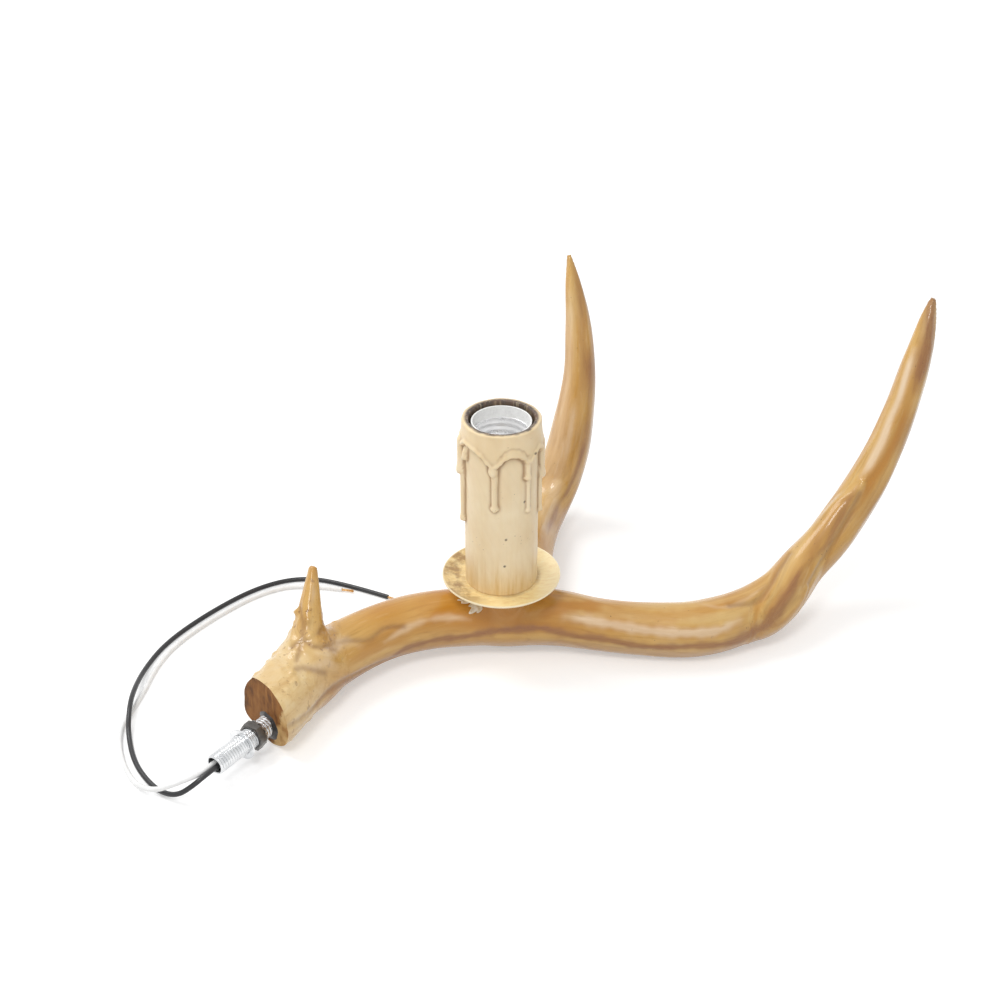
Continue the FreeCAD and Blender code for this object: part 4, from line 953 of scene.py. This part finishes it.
def threadedTube(name, placed, low, high, buriedTo, replaced):
    # a right-hand V thread outside: the radius swings between root and crest as the helix goes by, and tapers at
    # both ends; then down the plain bore
    make = threads
    angle = np.linspace(0, 2 * np.pi, make["columns"], endpoint=False)
    reach = np.linspace(low, high, int((high - low) / make["pitch"] * make["rowsPerTurn"]))[:, None]
    wave = np.abs(2 * np.mod(reach / make["pitch"] - angle / (2 * np.pi), 1) - 1)
    outer = make["root"] + (make["crest"] - make["root"]) * easeStep(wave, 0.02, 0.62)
    outer = np.where(reach < buriedTo, np.minimum(outer, make["buried"]), outer)
    outer = np.minimum(outer, np.minimum(reach - low, high - reach) * make["taper"] + make["bore"] + make["face"])
    lip = make["bore"] + make["lip"]
    rows = [(lip, low)] + list(zip(outer, reach)) + [(lip, high)]
    rows += [(make["bore"], height) for height in np.linspace(high - 0.35, low + 0.35, 6)]
    loopPiece(name, rowGrid(rows, make["columns"]), placed, "arm", zinc, 35, replaced)


def flatWasher():
    # a ring with softened edges, whose outer edge wanders a little
    inner, outer, low, high, soft = 5.08, 7.78, 17.8, 18.6, 0.14
    radius, angle, height = rowGrid([(inner, low + soft), (inner + soft, low), (outer - soft, low),
                                     (outer, low + soft), (outer, high - soft), (outer - soft, high),
                                     (inner + soft, high), (inner, high - soft)], 96)
    radius = radius + 0.02 * (radius > (inner + outer) / 2) * np.sin(angle * 3 + 1) * np.cos(angle * 7)
    loopPiece("hub_flat_washer_turned", (radius, angle, height), onNipple, "flat_washer", zinc, 35,
              "hub_flat_washer")


def toothedWasher():
    # a thin ring whose outer edge steps out to each tooth, and each tooth is twisted about its own radius
    make = lockWasher
    bore, ring, tip = make["bore"], make["ring"], make["tip"]
    outline = [(bore, 0.15), (ring - 0.1, 0.15), (ring, 0.15), (tip - 0.2, 0.2), (tip, 0.3), (tip, 0.9),
               (tip - 0.2, 1.0), (ring, 1.05), (ring - 0.1, 1.05), (bore, 1.05)]
    radius, angle, height = rowGrid(outline, 240)
    pitch = 2 * np.pi / make["teeth"]
    offset = (np.mod(angle + pitch / 2, pitch) - pitch / 2) * tip
    inTooth = easeStep(make["toothWidth"] / 2 - np.abs(offset), -0.12, 0.12)
    radius = np.where(radius > ring, ring + (radius - ring) * inTooth, radius)
    share = np.clip((radius - ring + 0.2) / 0.9, 0, 1)
    middle = make["middle"]
    height = middle + (height - middle) * (1 - 0.35 * share) + make["twist"] * share * inTooth * offset
    loopPiece("hub_lock_washer_toothed", (radius, angle, make["low"] + height), onNipple, "lock_washer", toothSteel,
              30, "hub_lock_washer")


def chamferedNut(name, flat, low, high, placed, body, replaced):
    # six flats: the outer radius is flat / cos(angle from the flat's middle); a 30 degree cone trims the corners
    columns, bore, chamfer, coneSlope, face = 120, 5.03, 0.5, 0.58, flat * 0.985
    angle = np.linspace(0, 2 * np.pi, columns, endpoint=False)
    outer = flat / np.cos(np.mod(angle, np.pi / 3) - np.pi / 6)
    trim = np.maximum(outer - flat, 0) * coneSlope + 0.03
    rows = [(bore, low + chamfer), (bore + chamfer, low), (face, low), (outer, low + trim),
            (outer, (low + high) / 2), (outer, high - trim), (face, high), (bore + chamfer, high),
            (bore, high - chamfer)]
    loopPiece(name, rowGrid(rows, columns), placed, body, darkSteel, 28, replaced)


def epoxyRing():
    # a low dark fillet round the nipple, uneven and widest below
    start = 4.6
    outline = [(start, -1.6), (9.0, -1.4), (8.4, -0.1), (7.2, 0.35), (6.2, 0.75), (5.4, 1.15), (4.9, 1.3),
               (start, 1.2)]
    radius, angle, height = rowGrid(outline, 90)
    uneven = 0.75 + 0.22 * np.cos(angle + 1.2) + 0.10 * np.sin(3 * angle) + 0.05 * np.sin(7 * angle + 1)
    radius = start + (radius - start) * uneven
    lean = np.tan(np.radians(antlerMake["faceTurn"])) * radius * np.cos(angle)
    height = height * (0.9 + 0.1 * np.sin(4 * angle)) - lean
    loopPiece("hub_dark_fillet", (radius, angle, height), onNipple, "arm", darkFillet, 60, "hub_glue")


threadedTube("hub_nipple_threaded", onNipple, -nipple["inside"], nipple["outside"], 0.0, "hub_nipple")
flatWasher()
toothedWasher()
chamferedNut("hub_hex_nut_chamfered", 6.38, 8.3, 12.5, onNipple, "hub_nut", "hub_hex_nut")
epoxyRing()
print("hub hardware made")

tray = {"hole": 5.1, "flat": 20.0, "rim": 29.25, "depth": 1.9, "sheet": 1.0, "rows": 26, "columns": 180, "wave": 0.10}
glueBead = {"from": 175.0, "to": 250.0, "radius": 11.2, "height": 39.7, "thick": 1.9, "rows": 48, "columns": 20}
glueFilm = {"thick": 1.6, "inner": 12.0, "reach": 9.6, "taper": 5.6, "from": 190, "sweep": 34, "lowest": 18.0,
            "sunk": 0.5, "halvings": 12, "rows": 40, "columns": 22}


def trayFinish():
    # pale antique gold, wiped on in straight strokes over brown, worn bright along the rim; painted light makes the
    # right side paler and painted shade darkens the left of the rising side
    finish = Finish("antiqueGold")
    strokes = finish.noise(finish.place((190, 520, 190), (0, 0, 0.75)), 1.0, 5, 0.75)
    cross = finish.noise(finish.place((420, 160, 60), (0, 0, 0.4)), 1.0, 4, 0.6)
    blotch = finish.noise(finish.place(), 120, 5, 0.7)
    body = finish.ramp(strokes, (0.30, (234, 200, 134)), (0.45, (246, 220, 156)), (0.60, (252, 232, 176)),
                       (0.78, (254, 244, 214)))
    # painted light: the tray turns paler towards its right side
    paintedLightRight = finish.add("ShaderNodeSeparateXYZ", Vector=finish.place((25, 25, 25), shift=(1.04, 0.46, 0)))
    body = finish.veil(body, (254, 242, 212), paintedLightRight, (0.30, 0.0), (0.75, 0.55))
    body = finish.veil(body, (222, 184, 118), cross, (0.56, 0.0), (0.76, 0.22))
    body = finish.veil(body, (200, 156, 92), blotch, (0.62, 0.0), (0.74, 0.35))
    # brown wash in the dish, with painted shade on its left side
    stainAndShade = finish.times(finish.painted("stainAndShade"), finish.ramp(blotch, (0.38, 0.28), (0.56, 1.0)))
    body = finish.mix(stainAndShade, body, (138, 96, 50))
    body = finish.mix(finish.painted("bright"), body, (253, 240, 206))
    finish.set(Base_Color=body, Metallic=0.05, Roughness=finish.ramp(strokes, (0.3, 0.34), (0.7, 0.52)),
               Coat_Weight=0.15, Coat_Roughness=0.3, Normal=finish.bump(strokes, 0.16, 0.0002))
    return finish


def dripTray():
    # a spun dish: flat middle, a rising curve, and a rolled lip; the rim is a little out of true
    make = tray
    radius = np.concatenate([np.linspace(make["hole"], make["flat"], 10)[:-1],
                             np.linspace(make["flat"], make["rim"], make["rows"])])
    share = np.clip((radius - make["flat"]) / (make["rim"] - make["flat"]), 0, 1)
    under = trayUnderside + make["depth"] * share ** 1.35
    edge = make["rim"] - np.array([0.04, 0.0, 0.0, 0.05])
    edgeHeight = under[-1] + np.array([0.18, 0.42, 0.66, 0.86]) * make["sheet"]
    face = radius - np.where(share >= 1, 0.16, 0)
    rows = list(zip(face, under)) + list(zip(edge, edgeHeight)) + list(zip(face, under + make["sheet"]))[::-1]
    spun, angle, height = rowGrid(rows, make["columns"])
    lifted = np.clip((spun - make["flat"]) / 9, 0, 1)
    height = height + make["wave"] * lifted ** 2 * (np.sin(angle * 2 + 0.5) + 0.6 * np.sin(5 * angle))
    piece = loopPiece("drip_tray_spun", (spun, angle, height), onCandle, "arm", trayFinish(), 40,
                      "drip_tray")
    onTop = np.arange(len(rows))[:, None] > len(radius) + 3
    # painted shade on the left of the rising side, and a darker ring near where the flat meets the rise
    stainAndShade = easeStep(np.cos(angle - np.pi), 0.1, 0.85) * easeStep(spun, 18, 22) * 0.80
    paint(piece.data, "stainAndShade", onTop * np.maximum(stainAndShade, bell(spun - 17.8, 0.8) * 0.7))
    paint(piece.data, "bright", easeStep(spun, make["rim"] - 0.9, make["rim"] - 0.25) * 0.85)


def trayGlue():
    # a lumpy bead of hot glue in the corner between boss and tray, tapering out at both ends
    make = glueBead
    share, turn = np.meshgrid(np.linspace(0, 1, make["rows"]), np.linspace(0, 2 * np.pi, make["columns"], False),
                              indexing="ij")
    bearing = np.radians(make["from"] + (make["to"] - make["from"]) * share)
    swell = np.sin(np.pi * share) ** 0.4 * (1 + 0.22 * np.sin(23 * share + 1) + 0.15 * np.sin(41 * share))
    swell = make["thick"] * swell * (1 + 0.14 * np.sin(3 * turn + 17 * share) + 0.08 * np.sin(5 * turn - 31 * share))
    height = np.minimum(make["height"] + swell * np.sin(turn), trayUnderside - 0.02)
    points = onCandle(make["radius"] + swell * np.cos(turn), bearing, height)
    ends = onCandle(make["radius"], np.radians([make["from"], make["to"]]), make["height"])
    turnOutward(addPiece("tray_glue_bead", np.vstack([points, ends]), cappedFaces(make["rows"], make["columns"]),
                         "arm", hotGlue, 60, "tray_glue"))


def glueRun():
    # glue that ran from the bead down the boss and along the beam: a lumpy film on the skin, thin at its edges
    make = glueFilm
    rows, columns = make["rows"], make["columns"]
    share, out = np.meshgrid(np.linspace(0, 1, rows), np.linspace(0, 1, columns), indexing="ij")
    angle = np.radians(make["from"] + make["sweep"] * share + 4 * np.sin(9 * out))
    reach = make["reach"] - make["taper"] * share + 1.5 * np.sin(11 * share) + 1.0 * np.sin(29 * share)
    radius = make["inner"] + reach * out
    spots = onCandle(radius, angle, 0.0)
    low, high = np.full(len(spots), make["lowest"]), np.full(len(spots), trayUnderside - 0.6)
    for step in range(make["halvings"]):
        spots[:, 2] = (low + high) / 2
        inside = skinField(spots)[0] < 0
        low, high = np.where(inside, spots[:, 2], low), np.where(inside, high, spots[:, 2])
    bulge = np.clip(np.sin(np.pi * share) * np.sin(np.pi * (0.12 + 0.88 * out)), 0, 1) ** 0.5
    uneven = 0.68 + 0.20 * np.sin(12 * share + 3 * out) + 0.12 * np.sin(9 * out - 7 * share + 1) * np.sin(17 * share)
    top = np.minimum(low + make["thick"] * (bulge * uneven).ravel() - 0.1, trayUnderside - 0.1)
    sheet = gridFaces(rows, columns, False, False)
    border = np.concatenate([np.arange(columns), np.arange(1, rows) * columns + columns - 1,
                             (rows - 1) * columns + np.arange(columns - 2, -1, -1),
                             np.arange(rows - 2, 0, -1) * columns])
    ahead = np.roll(border, -1)
    sides = np.stack([border, ahead, ahead + rows * columns, border + rows * columns], 1)
    faces = sheet.tolist() + (sheet[:, ::-1] + rows * columns).tolist() + sides.tolist()
    points = np.vstack([np.column_stack([spots[:, :2], level]) for level in (top, low - make["sunk"])])
    turnOutward(addPiece("tray_glue_run", points, faces, "arm", hotGlue, 60))


dripTray()
trayGlue()
glueRun()
print("tray made")

sleeve = {"bore": 15.75, "side": 17.7, "rim": 19.0, "low": 42.6, "high": 133.0, "rows": 236, "columns": 300,
          "edgeThick": 2.1, "rimRound": 0.9, "crown": 16.9, "darkBand": 17.35, "nearGapShadow": 0.75, "speck": 0.62}
# the collar's lower edge: bearing and height, and between these it swings in arches
collarEdge = np.array([(8, 119.0), (22, 120.8), (38, 115.5), (55, 121.0), (68, 120.0), (82, 114.5), (98, 120.0),
                       (115, 121.4), (131, 115.5), (148, 120.8), (165, 121.0), (178, 117.5), (187, 115.5),
                       (197, 120.8), (207, 123.2), (218, 123.0), (229, 122.2), (240, 120.4), (249, 117.0),
                       (257, 114.5), (264, 115.8), (269, 117.6), (275, 120.0), (284, 121.2), (294, 120.6),
                       (302, 118.8), (309, 115.6), (316, 115.4), (323, 118.8), (334, 120.6), (345, 118.6),
                       (354, 114.5)])
# runs of wax: bearing, top, lower end, half width, how far they stand off, and the share by which the end swells
waxRuns = [(187, 126, 103.6, 2.6, 4.1, 0.25), (190, 108, 77.4, 1.9, 2.7, 0.35), (203, 121.5, 114.0, 1.6, 2.7, 0.2),
           (257.5, 119, 111.2, 2.2, 3.1, 0.15), (259.5, 115, 91.4, 1.5, 2.1, 0.45),
           (311.5, 119, 106.9, 1.5, 2.9, 0.35),
           (315, 112, 88.2, 1.3, 1.4, 0.4), (356, 125, 101.0, 2.3, 3.5, 0.3), (352, 108, 82.6, 1.5, 2.2, 0.35),
           (38, 124, 104.4, 2.2, 3.2, 0.3), (42, 108, 90.0, 1.5, 2.0, 0.4), (82, 124, 94.8, 2.0, 2.8, 0.35),
           (131, 124, 106.4, 2.2, 3.2, 0.3), (134, 110, 84.0, 1.5, 2.1, 0.4), (100, 122, 112.0, 1.5, 2.6, 0.2)]
# dark specks of the sleeve: bearing and height
specks = [(277, 75.4), (275, 60.1), (322, 120.5), (222, 122.9), (308, 94.7)]


def waxRelief(angle, height):
    # how far the wax stands off the plain sleeve: a flaring collar with a beaded edge, then the separate runs
    bearing = np.degrees(angle) % 360
    edges = np.vstack([collarEdge[-1:] - (360, 0), collarEdge, collarEdge[:1] + (360, 0)])
    spot = np.clip(np.searchsorted(edges[:, 0], bearing, side="right") - 1, 0, len(edges) - 2)
    share = easeStep(bearing, edges[spot, 0], edges[spot + 1, 0])
    above = height - edges[spot, 1] - (edges[spot + 1, 1] - edges[spot, 1]) * share
    flare = sleeve["edgeThick"] + (sleeve["rim"] - sleeve["side"] - sleeve["edgeThick"]) * easeStep(height, 121, 132)
    collar = flare * easeStep(above, -0.5, 0.9) + 0.75 * bell(above - 1.6, 1.3)
    collar -= 0.35 * bell(above - 5.2, 0.7) * easeStep(np.cos(np.radians(bearing - 289)), 0.88, 0.95)
    collar += 0.12 * np.sin(bearing / 11) * easeStep(above, 0, 3) + 0.08 * np.sin(bearing / 4.7 + height / 3)
    relief = np.maximum(collar, 0.05 * np.sin(bearing / 17 + height / 21))
    for place, top, foot, half, stand, swell in waxRuns:
        across = np.radians((bearing - place + 180) % 360 - 180) * (sleeve["side"] + stand / 2)
        up = height - foot
        wide = half * (1 + swell * bell(up - half, half * 0.9) + 0.30 * easeStep(up, (top - foot) * 0.55, top - foot))
        wide = wide * np.sqrt(np.clip(1 - np.clip(1 - up / half, 0, 1) ** 2, 0, 1))
        rounded = np.sqrt(np.clip(1 - (across / np.maximum(wide, 1e-3)) ** 2, 0, 1)) * (wide > 1e-3)
        tall = stand * (0.86 + 0.14 * bell(up - half, half)) * rounded * easeStep(top - height, -3.5, 4.0)
        relief = np.maximum(relief, tall)
    return relief


def softened(relief, own, rounds):
    # each value drawn toward its four neighbours; own is how heavily it counts for itself
    for step in range(rounds):
        upright = (np.vstack([relief[:1], relief[:-1]]) + np.vstack([relief[1:], relief[-1:]])) / 2
        around = (np.roll(relief, 1, 1) + np.roll(relief, -1, 1)) / 2
        relief = (relief * own + upright + around) / (own + 2)
    return relief


def sleeveFinish():
    finish = Finish("candleResin")
    cloud = finish.noise(finish.place(), 60, 3)
    wash = finish.noise(finish.place((260, 260, 22)), 1.0, 5, 0.65)
    fine = finish.noise(finish.place((900, 900, 140)), 1.0, 4)
    body = finish.ramp(cloud, (0.3, (240, 216, 175)), (0.7, (248, 229, 193)))
    body = finish.veil(body, (232, 204, 156), wash, (0.50, 0.0), (0.75, 0.30))
    foot = finish.times(finish.painted("foot"), finish.ramp(wash, (0.34, 0.15), (0.68, 0.85)))
    body = finish.mix(foot, body, (214, 176, 112))
    olive = finish.times(finish.painted("collar"), finish.ramp(cloud, (0.40, 0.0), (0.62, 0.55)))
    body = finish.mix(olive, body, (230, 200, 148))
    body = finish.mix(finish.times(finish.painted("crease"), 0.75), body, (150, 108, 66))
    # dark stain on the rim's inner edge and the bore wall, with painted shadow of the gap round the holder on the
    # near side
    rim = finish.times(finish.painted("rim"), finish.ramp(fine, (0.30, 0.65), (0.5, 1.0)))
    body = finish.mix(rim, body, finish.ramp(wash, (0.40, (46, 38, 40)), (0.75, (112, 80, 60))))
    dots = finish.times(finish.ramp(finish.noise(finish.place(), 700, 1), (0.74, 0.0), (0.76, 1.0)),
                        finish.ramp(finish.noise(finish.place(), 75, 1), (0.50, 0.0), (0.56, 1.0)))
    body = finish.mix(finish.times(dots, 0.5), body, (90, 62, 44))
    body = finish.mix(finish.painted("speck"), body, (58, 40, 30))
    finish.set(Base_Color=body, Roughness=finish.ramp(wash, (0.3, 0.36), (0.7, 0.50)), Coat_Weight=0.12,
               Coat_Roughness=0.25, Subsurface_Weight=0.06, Subsurface_Scale=0.004,
               Subsurface_Radius=(1.0, 0.6, 0.3),
               Normal=finish.bump(finish.plus(wash, finish.times(fine, 0.5)), 0.22, 0.0002))
    return finish


def candleSleeve():
    # outside up, over the rounded rim, down the bore and across the foot, as one closed sheet
    make = sleeve
    columns, rows, bore = make["columns"], make["rows"], make["bore"]
    angle, height = np.meshgrid(np.linspace(0, 2 * np.pi, columns, endpoint=False),
                                np.linspace(make["low"] + 0.3, make["high"] - make["rimRound"], rows))
    soft = softened(waxRelief(angle, height), 2, 2)
    crease = np.clip((softened(soft, 0, 12) - soft) * 2.4, 0, 1)
    outer = make["side"] + soft
    lip, top = outer[-1], make["high"] - 0.02
    chip = 0.06 * np.sin(angle[0] * 9 + 1) * np.sin(angle[0] * 23)
    profile = list(zip(outer, height))
    profile += [(lip - 0.12, top - 0.52), (lip - 0.40, top - 0.18), (lip - 0.85, top), (make["crown"] + chip, top),
                (16.2, top - 0.03), (15.82, top - 0.35), (bore, top - 0.9)]
    profile += [(bore, z) for z in np.linspace(129.5, make["low"] + 0.4, 12)]
    profile += [(bore + 0.3, make["low"]), (make["side"] - 0.35, make["low"])]
    radius, angle, level = rowGrid(profile, columns)
    piece = loopPiece("candle_sleeve_waxed", (radius, angle, level), onCandle, "sleeve", sleeveFinish(),
                      50, "candle_sleeve")
    outside = radius > 17
    ragged = 0.10 * np.sin(angle * 5) + 0.08 * np.sin(angle * 17 + 2) + 0.06 * np.sin(angle * 31)
    # the dark band round the hole is the rim's dark stain, widened on the near side as painted shadow of the gap
    # round the holder
    band = make["darkBand"] + ragged + make["nearGapShadow"] * easeStep(-np.sin(angle), 0.0, 0.8)
    rim = easeStep(level, 131.4, 132.2) * easeStep(band - radius, -0.3, 0.3)
    rim = np.maximum(rim, 0.9 * (radius < 15.9) * easeStep(level, 120, 128))
    speck = np.zeros_like(radius)
    for bearing, tall in specks:
        across = np.radians((np.degrees(angle) - bearing + 180) % 360 - 180) * make["side"]
        speck = np.maximum(speck, easeStep(make["speck"] - np.hypot(across, level - tall), -0.2, 0.25))
    paint(piece.data, "crease", np.vstack([crease, np.zeros((len(profile) - rows, columns))]))
    paint(piece.data, "rim", np.clip(rim, 0, 0.97))
    paint(piece.data, "speck", 0.85 * speck * outside)
    paint(piece.data, "collar", easeStep(level, 112, 122) * outside)
    paint(piece.data, "foot", easeStep(70 - level, 0, 24) * outside)


candleSleeve()
print("candle sleeve made")

holder = {"side": 14.5, "bore": 13.65, "top": 131.3, "lip": 0.35, "band": 0.22, "floor": 91.0, "columns": 120}
shell = {"pitch": 3.63, "roll": 0.30, "middle": 12.95, "sheet": 0.3, "low": 97.4, "high": 125.5, "grid": 96}
contact = {"spring": 2.55, "wire": 0.36, "turns": 5, "seat": 88.5, "low": 88.95, "rise": 4.05, "keep": 0.58}


def turnedSolid(profile, columns):
    # a closed outline turned round an axis: it starts and ends on the axis, where poles close it
    radius, angle, height = rowGrid(profile[1:-1], columns)
    heights = np.append(height.ravel(), [profile[0][1], profile[-1][1]])
    return (np.append(radius.ravel(), [0, 0]), np.append(angle.ravel(), [0, 0]), heights,
            cappedFaces(len(profile) - 2, columns))


def spunAlong(origin, ahead):
    # places round an axis that starts at origin and runs ahead
    side = unit(np.cross(ahead, (0.3, 0.9, 0.1)))
    lift = np.cross(ahead, side)

    def placed(radius, angle, reach):
        across = (radius * np.cos(angle))[..., None] * side + (radius * np.sin(angle))[..., None] * lift
        return (np.array(origin) + across + np.asarray(reach)[..., None] * np.array(ahead)).reshape(-1, 3)
    return placed


def slottedScrew(headRadius, headHeight, shankRadius, shankLength):
    # shank from -shankLength to 0, then a domed head with a slot across it
    rings = np.linspace(headRadius, headRadius * 0.08, 12)
    dome = headHeight * (1 - 0.35 * (rings / headRadius) ** 2)
    profile = [(0, -shankLength), (shankRadius * 0.7, -shankLength), (shankRadius, -shankLength + 0.5),
               (shankRadius, 0), (headRadius, 0), (headRadius, headHeight * 0.4), *zip(rings, dome), (0, headHeight)]
    radius, angle, height, faces = turnedSolid(profile, 96)
    slotDepth = headHeight * 0.5 * easeStep(headRadius * 0.17 - np.abs(radius * np.sin(angle)), -0.08, 0.08)
    return radius, angle, np.where(height > headHeight * 0.5, height - slotDepth, height), faces


def solids(name, shapes, finish, sharp, replaced, body="arm"):
    # several turned solids, each with its own origin and direction, as one piece
    points, faces = np.empty((0, 3)), []
    for (radius, angle, height, shapeFaces), origin, ahead in shapes:
        faces += [[corner + len(points) for corner in face] for face in shapeFaces]
        points = np.vstack([points, spunAlong(candleFoot + origin, ahead)(radius, angle, height)])
    addPiece(name, points, faces, body, finish, sharp, replaced)


def rivet(seat):
    return turnedSolid([(0, 81.8), (1.0, 81.85), (1.35, 82.1), (1.4, 82.4), (1.0, 82.4), (1.0, seat), (1.4, seat),
                        (1.35, seat + 0.3), (0.8, seat + 0.55), (0, seat + 0.6)], 40)


def screwsAndRivets():
    solids("bracket_screw_slotted", [(slottedScrew(2.8, 1.8, 1.45, 7.5), (8.4, 0, 81.5), (0, 0, -1))], zinc,
           30, "bracket_screw")
    screw = slottedScrew(2.0, 1.2, 1.25, 2.5)
    solids("terminal_screws_slotted", [(screw, (-9.657, side * 6.5, 79.2), (-1, 0, 0)) for side in (-1, 1)], brass,
           30, "terminal_screws")
    solids("terminal_rivets_headed", [(rivet(91.0), (-1.607, -5.4, 0), (0, 0, 1)),
                                      (rivet(91.3), (-10.507, 2.9, 0), (0, 0, 1))], brass, 30,
           "terminal_rivets")


def holderBody():
    # a moulded cup: banded outside, rounded lip, plain bore and a thick floor with the contact's hole in it
    side, bore, top = holder["side"], holder["bore"], holder["top"]
    waist = side - holder["band"]
    outline = [(2.0, 83.05), (13.7, 83.0), (side, 83.8), (side, 88.4), (waist, 88.8), (waist, 128.2), (side, 128.6),
               (side, top - holder["lip"]), (side - 0.12, top - 0.1), (side - holder["lip"], top), (bore + 0.25, top),
               (bore + 0.05, top - 0.12), (bore, top - 0.4), (bore, 91.6), (bore - 0.5, holder["floor"]),
               (2.0, holder["floor"])]
    finish = plasticFinish("holderPlastic", (252, 252, 250), 0.3)
    loopPiece("socket_body_moulded", rowGrid(outline, holder["columns"]), onCandle, "arm", finish, 40,
              "socket_body")


def rolledShell():
    # sheet metal with a round right-hand thread: the radius swings as a cosine of height / pitch - turn
    make = shell
    low, high = make["low"], make["high"]
    angle = np.linspace(0, 2 * np.pi, make["grid"], endpoint=False)
    height = np.linspace(low, high, make["grid"])[:, None]
    fade = easeStep(height, low + 0.6, low + 3) * easeStep(high - height, 0.6, 3.5)
    wave = np.cos(2 * np.pi * height / make["pitch"] - angle)
    inner = make["middle"] + 0.05 * (1 - fade) + make["roll"] * fade * wave
    outer = inner + make["sheet"]
    rows = [(7.5, 91.0), (12.2, 91.0), (12.55, 91.4), (12.6, 96.2), *zip(outer, height),
            ((outer[-1] + inner[-1]) / 2, high + 0.1), *zip(inner[::-1], height[::-1]),
            (12.3, 96.2), (12.25, 91.6), (12.0, 91.3), (7.5, 91.3)]
    loopPiece("screw_shell_rolled", rowGrid(rows, make["grid"]), onCandle, "arm", brightShell, 50,
              "screw_shell")


def contactAndSpring():
    # a domed button on a stem, and a wire wound round it
    make = contact
    button = turnedSolid([(0, 81.0), (1.5, 81.0), (1.8, 81.4), (1.8, 93.4), (2.4, 93.5), (3.1, 93.6), (3.2, 93.9),
                          (3.05, 94.3), (2.5, 94.65), (1.5, 94.9), (0.6, 94.99), (0, 95.0)], 64)
    solids("centre_contact_domed", [(button, (0, 0, 0), (0, 0, 1))], brass, 40, "centre_contact",
           "contact")
    rows, columns = 160, 10
    share, around = np.meshgrid(np.linspace(0, 1, rows), np.linspace(0, 2 * np.pi, columns, False), indexing="ij")
    height = make["low"] + make["rise"] * easeStep(share, -0.15, 1.15) + make["wire"] * np.sin(around)
    points = onCandle(make["spring"] + make["wire"] * np.cos(around), 2 * np.pi * make["turns"] * share, height)
    last = rows * columns - 1
    faces = gridFaces(rows, columns).tolist() + [list(range(columns)), list(range(last, last - columns, -1))]
    piece = addPiece("contact_spring_wound", points, faces, "arm", springSteel, 60, "contact_spring")
    turnOutward(piece)
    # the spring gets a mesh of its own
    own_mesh(piece)


screwsAndRivets()
threadedTube("stem_nipple_threaded", onCandle, 31.0, 55.0, 42.0, "stem_nipple")
chamferedNut("stem_lock_nut_chamfered", 6.48, 45.1, 48.6, onCandle, "arm", "stem_lock_nut")
holderBody()
rolledShell()
contactAndSpring()
print("lampholder made")

# the CAD's own pieces that show as they are take a finish
for nodeName, finish in (("stem_washer", zinc), ("socket_bracket", zinc), ("line_terminal", brass),
                         ("neutral_terminal", brass), ("black_lead_terminal_strands", copper),
                         ("white_lead_terminal_strands", copper)):
    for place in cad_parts[nodeName].material_slots:
        place.material = finish.material
